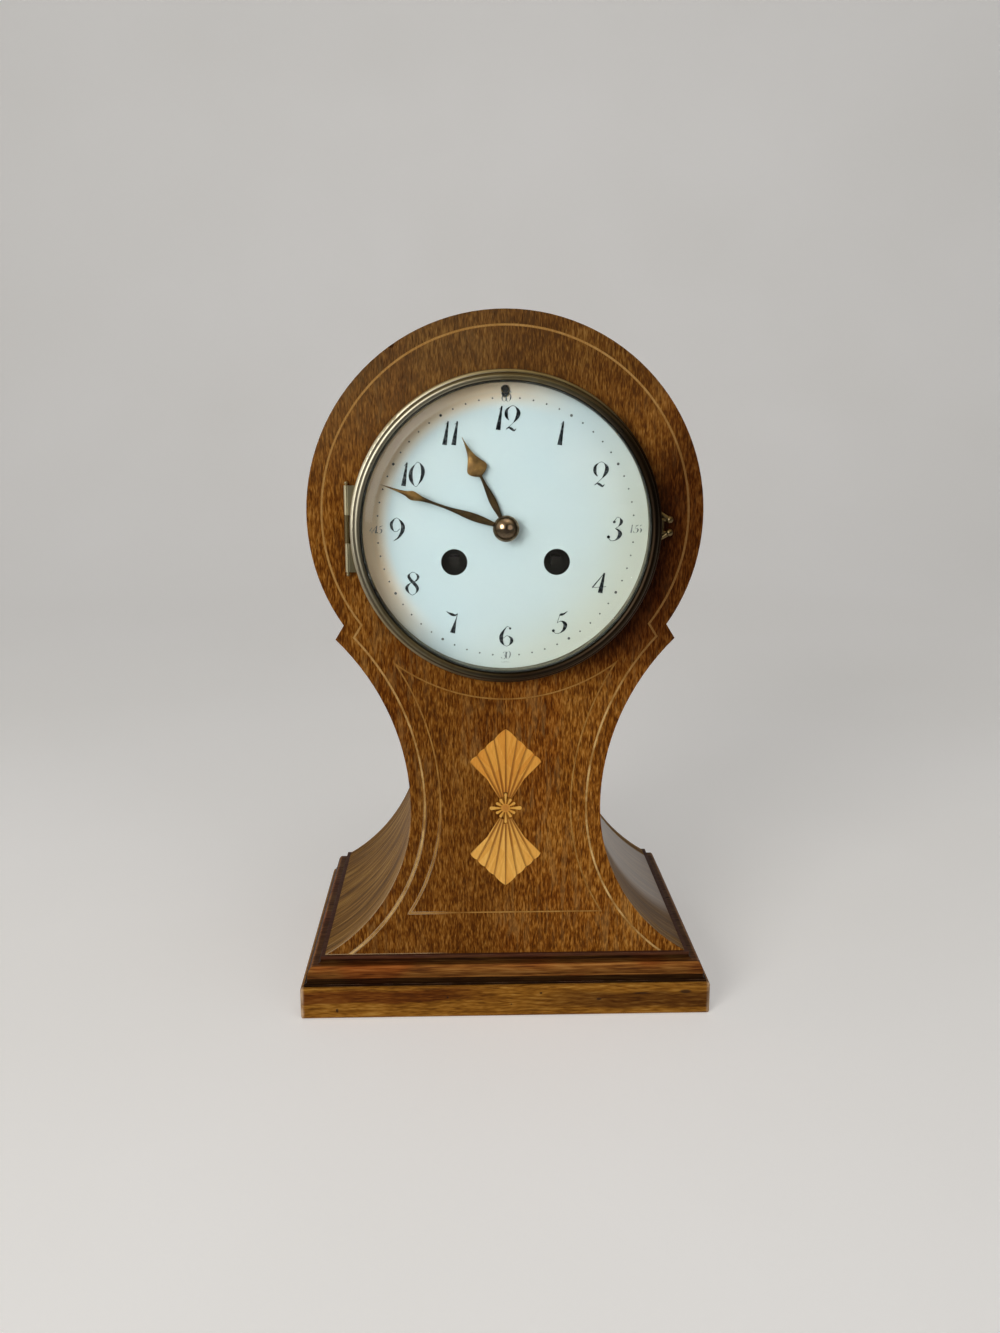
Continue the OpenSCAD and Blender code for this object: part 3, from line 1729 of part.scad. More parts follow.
module back_ring() {
    lip_s = back_board_s + seat_gap;
    ear_from = back_sleeve_r;
    low = -door_knuckle_l / 2 + seat_gap;
    h = door_knuckle_l - 2 * seat_gap;
    color("goldenrod")
    difference() {
        union() {
            turned(centre_at)
            translate([back_sleeve_in_r, lip_s])
            square([back_sleeve_r - back_sleeve_in_r, case_d + back_flange_t - lip_s]);
            turned(centre_at)
            translate([back_sleeve_in_r, case_d])
            square([back_ring_r - back_sleeve_in_r, back_flange_t]);
            turned(centre_at)
            translate([back_lip_r, lip_s])
            square([back_sleeve_r - back_lip_r, back_lip_t]);
            ear(ear_from, door_hinge_x + door_knuckle_r, case_d, back_flange_t, low, h);
            ear(door_hinge_x - door_knuckle_r, door_hinge_x + door_knuckle_r, case_d,
                door_hinge_s - case_d, low, h);
            knuckle(door_hinge_x, door_hinge_s, door_knuckle_r, low, h);
        }
        knuckle(door_hinge_x, door_hinge_s, door_pin_r + run_gap, -door_hinge_l, 2 * door_hinge_l);
        for (x = [-screw_x, screw_x]) {
            bar([x, 0], screw_r + run_gap, 0, far);
        }
    }
}

module back_door() {
    knuckle_low = [-door_hinge_l / 2, door_knuckle_l / 2];
    color("goldenrod")
    difference() {
        union() {
            bar(centre_at, door_r, door_s, door_t);
            turned(centre_at)
            translate([door_r - door_bead_inset, door_s])
            square([door_bead_w, door_t + door_bead_t]);
            for (low = knuckle_low) {
                ear(door_r * 0.8, door_hinge_x, door_s, door_t, low, door_knuckle_l);
                knuckle(door_hinge_x, door_hinge_s, door_knuckle_r, low, door_knuckle_l);
            }
            bar([knob_x, 0], knob_neck_r, door_s, door_t + knob_l);
            translate([knob_x, case_front_y + door_s + door_t + knob_l, dial_z])
            sphere(r = knob_r * 0.8);
        }
        knuckle(door_hinge_x, door_hinge_s, door_pin_r + run_gap, -door_hinge_l, 2 * door_hinge_l);
        ear(door_hinge_x - 2 * door_knuckle_r, far, 0, far, -door_knuckle_l / 2, door_knuckle_l);
    }
}

module door_hinge_pin() {
    color("silver")
    knuckle(door_hinge_x, door_hinge_s, door_pin_r, -door_hinge_l / 2 - door_pin_proud,
        door_hinge_l + 2 * door_pin_proud);
}

front_panel();
case_shell();
back_panel();
plinth_moulding();
plinth_block();
outline_stringing();
panel_stringing();
upper_fan();
lower_fan();
rosette();
dial_ring();
dial();
bezel();
bezel_glass();
bezel_hinge_pin();
thumb_piece();
hour_hand();
minute_hand();
hand_nut();
front_plate();
back_plate();
pillars();
going_barrel();
going_mainspring();
going_arbor();
going_ratchet();
going_click();
strike_barrel();
strike_mainspring();
strike_arbor();
strike_ratchet();
strike_click();
intermediate_wheel();
centre_wheel();
third_wheel();
escape_wheel();
cannon_pinion();
minute_wheel();
hour_wheel();
pallets();
crutch();
back_cock();
suspension_spring();
pendulum_rod();
pendulum_bob();
rating_nut();
regulator_arbor();
second_wheel();
pin_wheel();
warning_wheel();
fly();
hammer();
bell();
bell_standard();
bell_nut();
movement_straps();
strap_screws();
back_ring();
back_door();
door_hinge_pin();
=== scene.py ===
"""Looks of a balloon mantel clock: materials, dial painting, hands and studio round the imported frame."""

import math

import bmesh
import bpy
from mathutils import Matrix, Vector


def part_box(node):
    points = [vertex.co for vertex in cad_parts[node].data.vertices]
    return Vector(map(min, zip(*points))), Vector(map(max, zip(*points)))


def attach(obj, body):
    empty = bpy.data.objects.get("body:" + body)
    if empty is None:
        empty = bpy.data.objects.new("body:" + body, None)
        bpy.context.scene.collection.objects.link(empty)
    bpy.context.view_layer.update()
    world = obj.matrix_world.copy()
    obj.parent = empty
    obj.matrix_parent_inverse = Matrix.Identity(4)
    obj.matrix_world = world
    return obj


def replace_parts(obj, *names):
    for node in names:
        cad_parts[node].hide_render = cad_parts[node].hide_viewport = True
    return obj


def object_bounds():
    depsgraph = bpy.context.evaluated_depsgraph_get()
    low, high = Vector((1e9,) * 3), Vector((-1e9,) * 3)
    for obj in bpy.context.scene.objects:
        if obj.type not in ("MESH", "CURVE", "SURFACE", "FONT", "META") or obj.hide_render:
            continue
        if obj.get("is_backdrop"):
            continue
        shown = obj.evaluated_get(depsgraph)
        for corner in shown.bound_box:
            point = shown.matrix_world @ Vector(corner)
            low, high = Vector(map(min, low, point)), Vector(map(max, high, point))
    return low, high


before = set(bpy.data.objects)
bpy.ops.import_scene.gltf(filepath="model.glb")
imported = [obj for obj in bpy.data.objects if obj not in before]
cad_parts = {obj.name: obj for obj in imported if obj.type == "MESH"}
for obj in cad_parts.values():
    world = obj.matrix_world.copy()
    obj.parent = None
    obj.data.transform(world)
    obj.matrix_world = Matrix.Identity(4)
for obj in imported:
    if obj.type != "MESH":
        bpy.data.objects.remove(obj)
cad_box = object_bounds()

MM = 0.001

# Viewpoint of the photograph: a frame of 1000 by 1333 pixels, distances in metres, angles in degrees
PHOTO_H = 1333
FOCAL_PX = 1200
SENSOR_MM = 36
EYE = Vector((-0.01595, -0.4901, 0.2248))
EYE_PITCH = 11.505
EYE_YAW = 1.817
NEAREST = 0.01

# Dial, bezel and winding holes: the dial's place from its node, the other sizes as in the part's source
DIAL_LOW, DIAL_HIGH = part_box("dial")
DIAL_X = (DIAL_LOW.x + DIAL_HIGH.x) / 2
DIAL_Z = (DIAL_LOW.z + DIAL_HIGH.z) / 2
DIAL_R = (DIAL_HIGH.x - DIAL_LOW.x) / 2
DIAL_RISE = 2.5 * MM
DIAL_BALL_R = (DIAL_R ** 2 + DIAL_RISE ** 2) / (2 * DIAL_RISE)
DIAL_HOLE_R = 3.6 * MM
BEZEL_R = 56 * MM
HINGE_X = -57.15 * MM
WINDING_X = 18.8 * MM
WINDING_Z = DIAL_Z - 12.6 * MM
WINDING_HOLE_R = 4.8 * MM
REGULATOR_Z = DIAL_Z + 48 * MM
REGULATOR_HOLE_R = 1.6 * MM

# Inlay: the rosette's place from its node, the fans as in the part's source
ROSETTE_LOW, ROSETTE_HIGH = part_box("rosette")
ROSETTE_Z = (ROSETTE_LOW.z + ROSETTE_HIGH.z) / 2
ROSETTE_R = ROSETTE_HIGH.z - ROSETTE_Z
FAN_LEAVES = 8
FAN_L = 31 * MM
FAN_HALF_W = 13.5 * MM
FAN_CORNER_L = 18 * MM
FAN_HALF_ANGLE = math.atan2(FAN_HALF_W, FAN_CORNER_L)

CASE_FRONT_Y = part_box("front_panel")[0].y
BLOCK_LOW, BLOCK_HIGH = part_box("plinth_block")
MOULDING_LOW, MOULDING_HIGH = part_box("plinth_moulding")


class Nodes:
    """One node tree, started empty, with short calls that add nodes and return the socket of their result."""

    def __init__(self, tree):
        self.tree = tree
        tree.nodes.clear()

    def feed(self, socket, value):
        if isinstance(value, bpy.types.NodeSocket):
            self.tree.links.new(value, socket)
        elif socket.type == "RGBA":
            socket.default_value = (*value, 1)
        else:
            socket.default_value = value

    def node(self, kind, *values, **settings):
        """A new node, its first inputs fed with the values."""
        made = self.tree.nodes.new(kind)
        for key, setting in settings.items():
            setattr(made, key, setting)
        for socket, value in zip(made.inputs, values):
            self.feed(socket, value)
        return made

    def calc(self, operation, *values):
        return self.node("ShaderNodeMath", *values, operation=operation).outputs[0]

    def plus(self, first, second):
        return self.calc("ADD", first, second)

    def minus(self, first, second):
        return self.calc("SUBTRACT", first, second)

    def times(self, first, second):
        return self.calc("MULTIPLY", first, second)

    def hypot(self, first, second):
        return self.calc("SQRT", self.plus(self.times(first, first), self.times(second, second)))

    def split(self, vector):
        return self.node("ShaderNodeSeparateXYZ", vector).outputs

    def join(self, *parts):
        return self.node("ShaderNodeCombineXYZ", *parts).outputs[0]

    def dot(self, first, second):
        return self.node("ShaderNodeVectorMath", first, second, operation="DOT_PRODUCT").outputs["Value"]

    def span(self, value, low, high, start=0.0, end=1.0):
        """The value's place between low and high, held at the ends."""
        made = self.node("ShaderNodeMapRange", value, low, high, start, end, interpolation_type="SMOOTHSTEP")
        return made.outputs[0]

    def ramp(self, value, *stops):
        made = self.node("ShaderNodeValToRGB", value)
        points = made.color_ramp.elements
        while len(points) < len(stops):
            points.new(1)
        for point, (position, colour) in zip(points, stops):
            point.position = position
            point.color = (*colour, 1)
        return made.outputs[0]

    def mix(self, share, first, second, mode="MIX"):
        made = self.node("ShaderNodeMix", share, data_type="RGBA", blend_type=mode)
        self.feed(made.inputs[6], first)
        self.feed(made.inputs[7], second)
        return made.outputs[2]

    def light_path(self):
        """Flags of the ray that looks: straight from the camera, mirrored or through glass, bounced."""
        path = self.node("ShaderNodeLightPath").outputs
        mirrored = self.calc("MAXIMUM", path["Is Glossy Ray"], path["Is Transmission Ray"])
        bounces = self.plus(path["Glossy Depth"], path["Diffuse Depth"])
        return path["Is Camera Ray"], mirrored, self.calc("MINIMUM", bounces, 1.0)


class Paint(Nodes):
    """One procedural material, built node by node in metres of the shared frame."""

    def __init__(self, name):
        self.material = bpy.data.materials.new(name)
        self.material.use_nodes = True
        super().__init__(self.material.node_tree)
        self.place = self.node("ShaderNodeTexCoord").outputs["Object"]
        self.x, self.y, self.z = self.split(self.place)

    def noise(self, rate, detail=2.0, rough=0.5, twist=0.0, vector=None):
        """Soft noise from 0 to 1. The rate is in features a metre, one number or along x, y and z."""
        mapping = self.node("ShaderNodeMapping", vector or self.place)
        mapping.inputs["Scale"].default_value = rate if isinstance(rate, tuple) else (rate, rate, rate)
        made = self.node("ShaderNodeTexNoise", mapping.outputs[0])
        made.inputs["Scale"].default_value = 1
        made.inputs["Detail"].default_value = detail
        made.inputs["Roughness"].default_value = rough
        made.inputs["Distortion"].default_value = twist
        return made.outputs[0]

    def away(self, x, z):
        """Distance from a line along y."""
        return self.hypot(self.minus(self.x, x), self.minus(self.z, z))

    def facing(self, axis):
        """1 on faces that look along an axis (0 for x, 1 for y, 2 for z), 0 on faces that look across it."""
        normal = self.node("ShaderNodeNewGeometry").outputs["Normal"]
        return self.span(self.calc("ABSOLUTE", self.split(normal)[axis]), 0.6, 0.8)

    def arris(self, radius):
        """1 along edges within about the radius, 0 on open faces."""
        rounded = self.node("ShaderNodeBevel", radius, samples=6).outputs[0]
        normal = self.node("ShaderNodeNewGeometry").outputs["Normal"]
        return self.span(self.dot(rounded, normal), 0.985, 0.86)

    def bump(self, height, depth):
        made = self.node("ShaderNodeBump")
        made.inputs["Distance"].default_value = depth
        self.feed(made.inputs["Height"], height)
        return made.outputs[0]

    def shader(self, **inputs):
        """Principled shader, its sockets named with _ for a space."""
        made = self.node("ShaderNodeBsdfPrincipled")
        for key, value in inputs.items():
            self.feed(made.inputs[key.replace("_", " ")], value)
        return made.outputs[0]

    def close(self, surface):
        """The finished material, with a shader on its surface."""
        self.node("ShaderNodeOutputMaterial", surface)
        return self.material

    def finish(self, **inputs):
        """The finished material, with one principled shader."""
        return self.close(self.shader(**inputs))


def grain_rate(along, width, length):
    """Noise rate of marks with a length along the named axes and a width across them, in metres."""
    return tuple(1 / length if axis in along else 1 / width for axis in "xyz")


def wood_flecks(paint, along, fleck_w, fleck_l, vector=None):
    """Tone of short mahogany flecks that run along the named axes."""
    coarse = paint.noise(grain_rate(along, fleck_w, fleck_l), 2, 0.55, 0.25, vector)
    fine = paint.noise(grain_rate(along, fleck_w / 2.6, fleck_l / 2), 1, 0.5, 0, vector)
    figure = paint.noise(grain_rate(along, fleck_w * 14, fleck_l * 9), 2, 0.5, 0.4, vector)
    grain = paint.plus(paint.times(coarse, 0.52), paint.times(fine, 0.28))
    return paint.plus(grain, paint.times(figure, 0.2))


def wood_pores(paint, along, pore_w, pore_l):
    """1 in the open pores, thin dark dashes along the grain."""
    return paint.span(paint.noise(grain_rate(along, pore_w, pore_l), 1, 0.5, 0), 0.6, 0.72)


# Mahogany colours
WOOD_DARK = (0.066, 0.0185, 0.0018)
WOOD_BROWN = (0.132, 0.040, 0.0036)
WOOD_GOLD = (0.226, 0.084, 0.011)
WOOD_PALE = (0.335, 0.153, 0.031)
WOOD_PORE = (0.032, 0.010, 0.002)
WOOD_WORN_LIT = (0.560, 0.410, 0.230)
# Small chip in the edge of the head, up and left of the dial
CHIP_X = -40.5 * MM
CHIP_Z = 251.3 * MM
CHIP_R = 1.3 * MM
# Places where the veneer and its lines change, by age and wear and by painted light and painted shadow, each
# from no change to full change, in metres
PAINTED_LIGHT_X = (-0.012, 0.022)
PAINTED_LIGHT_Z = (0.15, 0.10)
FADED_X = (0.045, -0.03)
FADED_Z = (0.19, 0.235)
CROWN_Z = (0.225, 0.25)
SHADOW_SLANT = (0.035, 0.058)
SHADOW_Z = (0.125, 0.15)
SHADOW_AT_BEZEL = (BEZEL_R + 14 * MM, BEZEL_R + 3 * MM)
RUBBED_LIT_X = (-0.02, -0.032)
RUBBED_LIT_Z = (0.092, 0.055)
SHEEN_POLISH_X = (0.0, 0.03)
POLISHED_Y = (-0.026, -0.006)
SHEEN_POLISH_Z = (0.11, 0.08)
DULL_LINE_Z = (0.10, 0.16)
FOREMOST_Y = (CASE_FRONT_Y + 0.9 * MM, CASE_FRONT_Y + 0.3 * MM)
# Lean of the slant that bounds the bezel's painted shadow, in metres across for each metre up
SHADOW_LEAN = 0.45


def band_veneer(paint):
    """Colour and pores of the veneer round the case sides: long golden streaks that follow the curve."""
    tone = wood_flecks(paint, "xz", 1.5 * MM, 34 * MM)
    colour = paint.ramp(
        tone, (0.39, (0.110, 0.046, 0.006)), (0.48, (0.225, 0.103, 0.014)), (0.55, (0.365, 0.182, 0.032)),
        (0.64, (0.500, 0.290, 0.075)))
    pores = wood_pores(paint, "xz", 0.35 * MM, 8 * MM)
    return paint.mix(paint.times(pores, 0.55), colour, WOOD_PORE), pores


def panel_edge(paint):
    """1 on the edge faces of an upright panel, 0 on its front and back."""
    return paint.span(paint.facing(1), 0.0, 1.0, 1, 0)


def slant(paint, lean):
    """Place along a slant from the upper left to the lower right of the dial, in metres."""
    return paint.plus(paint.x, paint.times(paint.minus(DIAL_Z, paint.z), lean))


def darkened(paint):
    """1 on the head right of the bezel and below it, where the bezel's shadow is painted on the veneer and
    its lines.
    """
    return paint.times(paint.span(slant(paint, SHADOW_LEAN), *SHADOW_SLANT), paint.span(paint.z, *SHADOW_Z))


def flecked_veneer(paint):
    """Tone and colour of the front veneer: upright flecks with red clouds and greyish wisps."""
    tone = wood_flecks(paint, "z", 0.8 * MM, 3.9 * MM)
    colour = paint.ramp(tone, (0.40, WOOD_DARK), (0.48, WOOD_BROWN), (0.545, WOOD_GOLD), (0.63, WOOD_PALE))
    red = paint.span(paint.noise((34, 34, 13), 2, 0.5, 0.6), 0.5, 0.66, 0, 0.5)
    colour = paint.mix(red, colour, (0.82, 0.64, 0.50), "MULTIPLY")
    wisps = paint.span(paint.noise((420, 420, 70), 2, 0.5, 0.6), 0.5, 0.62)
    grey = paint.times(wisps, paint.span(paint.noise((30, 30, 14), 2, 0.5, 0.5), 0.44, 0.6, 0.05, 0.26))
    return tone, paint.mix(grey, colour, (0.250, 0.138, 0.044))


def aged_veneer(paint, colour):
    """Front veneer: brighter low on the right as painted light, faded over the dial by age, and darker beside
    the bezel as its painted shadow.
    """
    # Painted light: the veneer brightened low on the right
    bright = paint.times(paint.span(paint.x, *PAINTED_LIGHT_X), paint.span(paint.z, *PAINTED_LIGHT_Z))
    colour = paint.mix(bright, colour, (1.40, 1.42, 1.40), "MULTIPLY")
    faded = paint.times(paint.span(paint.z, *FADED_Z, 0, 0.34), paint.span(paint.x, *FADED_X, 0.25, 1))
    colour = paint.mix(faded, colour, (0.180, 0.112, 0.046))
    colour = paint.mix(paint.span(paint.z, *CROWN_Z, 0, 0.55), colour, (0.66, 0.76, 0.95), "MULTIPLY")
    # Painted shadow of the bezel on the head, deepest next to the bezel
    bezel_shadow = darkened(paint)
    colour = paint.mix(bezel_shadow, colour, (0.46, 0.38, 0.36), "MULTIPLY")
    at_bezel = paint.times(bezel_shadow, paint.span(paint.away(DIAL_X, DIAL_Z), *SHADOW_AT_BEZEL))
    return paint.mix(at_bezel, colour, (0.50, 0.40, 0.40), "MULTIPLY")


def mahogany_front():
    """Flecked front veneer, pale along its lower left edge from wear and a painted highlight, and chipped at
    the head.
    """
    paint = Paint("mahogany_front")
    tone, colour = flecked_veneer(paint)
    colour = aged_veneer(paint, colour)
    pores = wood_pores(paint, "z", 0.26 * MM, 2.8 * MM)
    colour = paint.mix(paint.times(pores, 0.6), colour, WOOD_PORE)
    colour = paint.mix(panel_edge(paint), colour, band_veneer(paint)[0])
    foremost = paint.span(paint.y, *FOREMOST_Y)
    # The lower left front edge painted pale: wear, and a painted highlight where the light catches it
    edge = paint.times(paint.arris(0.8 * MM), foremost)
    rubbed = paint.times(paint.span(paint.z, *RUBBED_LIT_Z), paint.span(paint.x, *RUBBED_LIT_X))
    chafe = paint.span(paint.noise((260, 260, 90), 3), 0.34, 0.52, 0.7, 1)
    colour = paint.mix(paint.times(paint.times(edge, rubbed), chafe), colour, WOOD_WORN_LIT)
    chip = paint.span(paint.away(CHIP_X, CHIP_Z), CHIP_R, 0.6 * CHIP_R, 0, 0.9)
    colour = paint.mix(paint.times(chip, foremost), colour, WOOD_PORE)
    return paint.finish(
        Base_Color=colour, Roughness=paint.span(tone, 0.38, 0.62, 0.5, 0.4), Specular_IOR_Level=0.05,
        Normal=paint.bump(pores, -0.05 * MM))


def mahogany_shell():
    """Band veneer of the case sides; low on the right a greyer brown painted as sheen, with a polish coat
    there.
    """
    paint = Paint("mahogany_shell")
    colour, pores = band_veneer(paint)
    # Low on the right: a greyer brown painted as sheen, and a real polish coat further back
    sheen_and_polish = paint.times(paint.span(paint.x, *SHEEN_POLISH_X), paint.span(paint.z, *SHEEN_POLISH_Z))
    colour = paint.mix(paint.times(sheen_and_polish, 0.6), colour, (0.200, 0.120, 0.062))
    polish = paint.times(sheen_and_polish, paint.span(paint.y, *POLISHED_Y, 0.04, 0.95))
    return paint.finish(
        Base_Color=colour, Roughness=paint.span(pores, 0, 1, 0.48, 0.6), Specular_IOR_Level=0.04,
        Coat_Weight=polish, Coat_Roughness=0.3, Normal=paint.bump(pores, -0.04 * MM))


def mahogany_back():
    """Plainer upright board at the back, dry and less polished."""
    paint = Paint("mahogany_back")
    tone = wood_flecks(paint, "z", 1.2 * MM, 18 * MM)
    colour = paint.ramp(tone, (0.39, WOOD_DARK), (0.5, WOOD_BROWN), (0.62, WOOD_GOLD))
    pores = wood_pores(paint, "z", 0.35 * MM, 5 * MM)
    colour = paint.mix(paint.times(pores, 0.7), colour, WOOD_PORE)
    colour = paint.mix(panel_edge(paint), colour, band_veneer(paint)[0])
    return paint.finish(
        Base_Color=colour, Roughness=paint.span(tone, 0.38, 0.62, 0.62, 0.5), Specular_IOR_Level=0.05,
        Normal=paint.bump(pores, -0.06 * MM))


def along_rails(paint):
    """Coordinates whose x runs along each side of the plinth, so the grain turns at the mitres."""
    choose = paint.node("ShaderNodeMix", paint.facing(0), data_type="VECTOR")
    paint.feed(choose.inputs[4], paint.place)
    paint.feed(choose.inputs[5], paint.join(paint.y, paint.x, paint.z))
    return choose.outputs[1]


# Old stain and painted shade on the moulding, darkest in its hollows, with painted highlights on its light
# lines and the round's top, by share of its height: foot line, small hollow, round, hollow and top line
MOULDING_STAIN_AND_LIGHT = [
    (0.0, 0.10), (0.09, 0.08), (0.28, 0.14), (0.305, 1.0), (0.335, 1.0), (0.36, 0.55), (0.48, 0.8),
    (0.64, 1.15), (0.72, 1.5), (0.745, 0.4), (0.8, 0.14), (0.87, 0.16), (0.89, 0.5), (0.93, 1.0), (1.0, 0.7)]


def mahogany_moulding():
    """Red-brown polished moulding, black in its hollows from stain and painted shade, with painted highlights
    on its lines and edges and painted shade on its ends.
    """
    paint = Paint("mahogany_moulding")
    rails = along_rails(paint)
    tone = wood_flecks(paint, "x", 0.7 * MM, 13 * MM, rails)
    colour = paint.ramp(
        tone, (0.39, (0.080, 0.026, 0.007)), (0.48, (0.170, 0.060, 0.012)), (0.55, (0.242, 0.094, 0.019)),
        (0.64, (0.325, 0.145, 0.036)))
    red = paint.span(paint.noise((30, 30, 60), 1.5, 0.5, 0.3, rails), 0.5, 0.64, 0, 0.75)
    colour = paint.mix(red, colour, (0.90, 0.58, 0.50), "MULTIPLY")
    raised = paint.minus(paint.z, MOULDING_LOW.z)
    height = paint.calc("DIVIDE", raised, MOULDING_HIGH.z - MOULDING_LOW.z)
    # Stain and painted shade in the hollows, painted highlights on the light lines
    stain_and_light = paint.ramp(height, *[(share, (shade,) * 3) for share, shade in MOULDING_STAIN_AND_LIGHT])
    colour = paint.mix(1.0, colour, stain_and_light, "MULTIPLY")
    colour = paint.mix(paint.span(height, 0.87, 0.91, 0, 0.75), colour, (0.062, 0.024, 0.016))
    # The ends of the moulding painted near black as shade
    colour = paint.mix(paint.times(paint.facing(0), 0.8), colour, (0.014, 0.007, 0.007))
    # Pale edges: wear, and partly a painted highlight along them
    rub_and_glint = paint.times(paint.arris(0.4 * MM), paint.span(paint.noise(120, 2), 0.45, 0.6, 0.1, 0.5))
    colour = paint.mix(rub_and_glint, colour, (0.20, 0.115, 0.075))
    return paint.finish(
        Base_Color=colour, Roughness=paint.span(tone, 0.38, 0.62, 0.5, 0.4), Specular_IOR_Level=0.04)


# Pits and dark knots in the block's face, in millimetres: across, up, half width, half height
BLOCK_PITS = [
    (-64.9, 3.5, 0.6, 0.9), (-22.5, 8.3, 0.5, 0.5), (13.4, 9.6, 0.6, 0.5), (35.8, 6.8, 1.2, 0.6),
    (69.3, 9.4, 2.6, 0.9), (52.0, 9.0, 3.4, 0.35), (2.0, 5.2, 0.4, 0.3)]


def block_pits(paint):
    """1 inside the pits of the block's face."""
    deepest = None
    for x, z, half_w, half_h in BLOCK_PITS:
        across = paint.calc("DIVIDE", paint.minus(paint.x, x * MM), half_w * MM)
        up = paint.calc("DIVIDE", paint.minus(paint.z, z * MM), half_h * MM)
        pit = paint.span(paint.hypot(across, up), 1.1, 0.5)
        deepest = paint.calc("MAXIMUM", deepest, pit) if deepest else pit
    return deepest


# Bands of stain on the block: by share of its height where each starts and ends, then across it in metres
# with the band's strength
RED_BAND = ((0.46, 0.54), (0.96, 0.84), (0.005, -0.03, 0, 0.9))
BROWN_BAND = ((0.16, 0.3), (0.82, 0.66), (0.0, 0.04, 0.1, 0.9))
# Rubbed front corners of the block, from no change to full change, in metres
CORNER_X = (BLOCK_HIGH.x - 1.9 * MM, BLOCK_HIGH.x - 0.5 * MM)
CORNER_Y = (BLOCK_LOW.y + 2.6 * MM, BLOCK_LOW.y + 0.8 * MM)


def stain_band(paint, height, start, end, across):
    """Strength of a band of stain, 0 above and below it."""
    band = paint.times(paint.span(height, *start), paint.span(height, *end))
    return paint.times(band, paint.span(paint.x, *across))


def block_bands(paint, colour, rails):
    """Block's colour with a dark red band high on its left and a brown one on its right."""
    share = paint.calc("DIVIDE", paint.z, BLOCK_HIGH.z)
    wander = paint.times(paint.minus(paint.noise((30, 30, 8), 2, 0.5, 0.3, rails), 0.5), 0.5)
    height = paint.plus(share, wander)
    colour = paint.mix(stain_band(paint, height, *RED_BAND), colour, (0.45, 0.28, 0.20), "MULTIPLY")
    return paint.mix(stain_band(paint, height, *BROWN_BAND), colour, (0.35, 0.28, 0.25), "MULTIPLY")


def mahogany_block():
    """Lighter plinth block, dark red high on the left, brown on the right, with pale corners and pits."""
    paint = Paint("mahogany_block")
    rails = along_rails(paint)
    tone = wood_flecks(paint, "x", 0.75 * MM, 7 * MM, rails)
    colour = paint.ramp(
        tone, (0.39, (0.130, 0.047, 0.004)), (0.48, (0.235, 0.092, 0.009)), (0.55, (0.315, 0.136, 0.017)),
        (0.64, (0.420, 0.210, 0.038)))
    colour = block_bands(paint, colour, rails)
    pits = block_pits(paint)
    colour = paint.mix(paint.times(pits, 0.85), colour, (0.035, 0.014, 0.005))
    chafe = paint.span(paint.noise((190, 190, 130), 3), 0.34, 0.58, 0.3, 1)
    colour = paint.mix(paint.times(paint.arris(1.0 * MM), chafe), colour, (0.52, 0.34, 0.165))
    end = paint.span(paint.calc("ABSOLUTE", paint.x), *CORNER_X)
    corner = paint.times(end, paint.span(paint.y, *CORNER_Y))
    rubbed = paint.times(corner, paint.span(paint.x, 0.02, -0.02, 0.75, 0.9))
    colour = paint.mix(paint.times(rubbed, chafe), colour, (0.62, 0.43, 0.27))
    return paint.finish(
        Base_Color=colour, Roughness=paint.span(tone, 0.38, 0.62, 0.52, 0.42), Specular_IOR_Level=0.1,
        Normal=paint.bump(pits, -0.25 * MM))


def boxwood(name, pale, dull, polish_w):
    """Boxwood line, brightest low on the case, dulled round the head and along its edges under old polish,
    and darker right of the bezel as its painted shadow.
    """
    paint = Paint(name)
    tone = paint.noise(120, 3, 0.6)
    colour = paint.ramp(tone, (0.38, dull), (0.6, pale))
    colour = paint.mix(paint.span(paint.z, *DULL_LINE_Z, 0, 0.85), colour, dull)
    # Painted shadow of the bezel on the line
    colour = paint.mix(darkened(paint), colour, (0.5, 0.45, 0.45), "MULTIPLY")
    fibre = paint.noise((2600, 2600, 700), 1)
    colour = paint.mix(paint.span(fibre, 0.4, 0.7, 0, 0.4), colour, (0.6, 0.42, 0.26), "MULTIPLY")
    colour = paint.mix(paint.times(paint.arris(polish_w), 0.85), colour, (0.130, 0.052, 0.008))
    return paint.finish(
        Base_Color=colour, Roughness=paint.span(fibre, 0.3, 0.7, 0.4, 0.5), Specular_IOR_Level=0.05)


# Brown of wood scorched in hot sand
SCORCH = (0.205, 0.060, 0.007)
# Scorched borders of a fan's leaf: from pale to brown along its two sides, and where they weaken outward
BROAD_BORDER = (0.9 * MM, 0.1 * MM)
NARROW_BORDER = (0.5 * MM, 0.1 * MM)
BORDER_OUT = (0.3 * FAN_L, 1.0 * FAN_L)


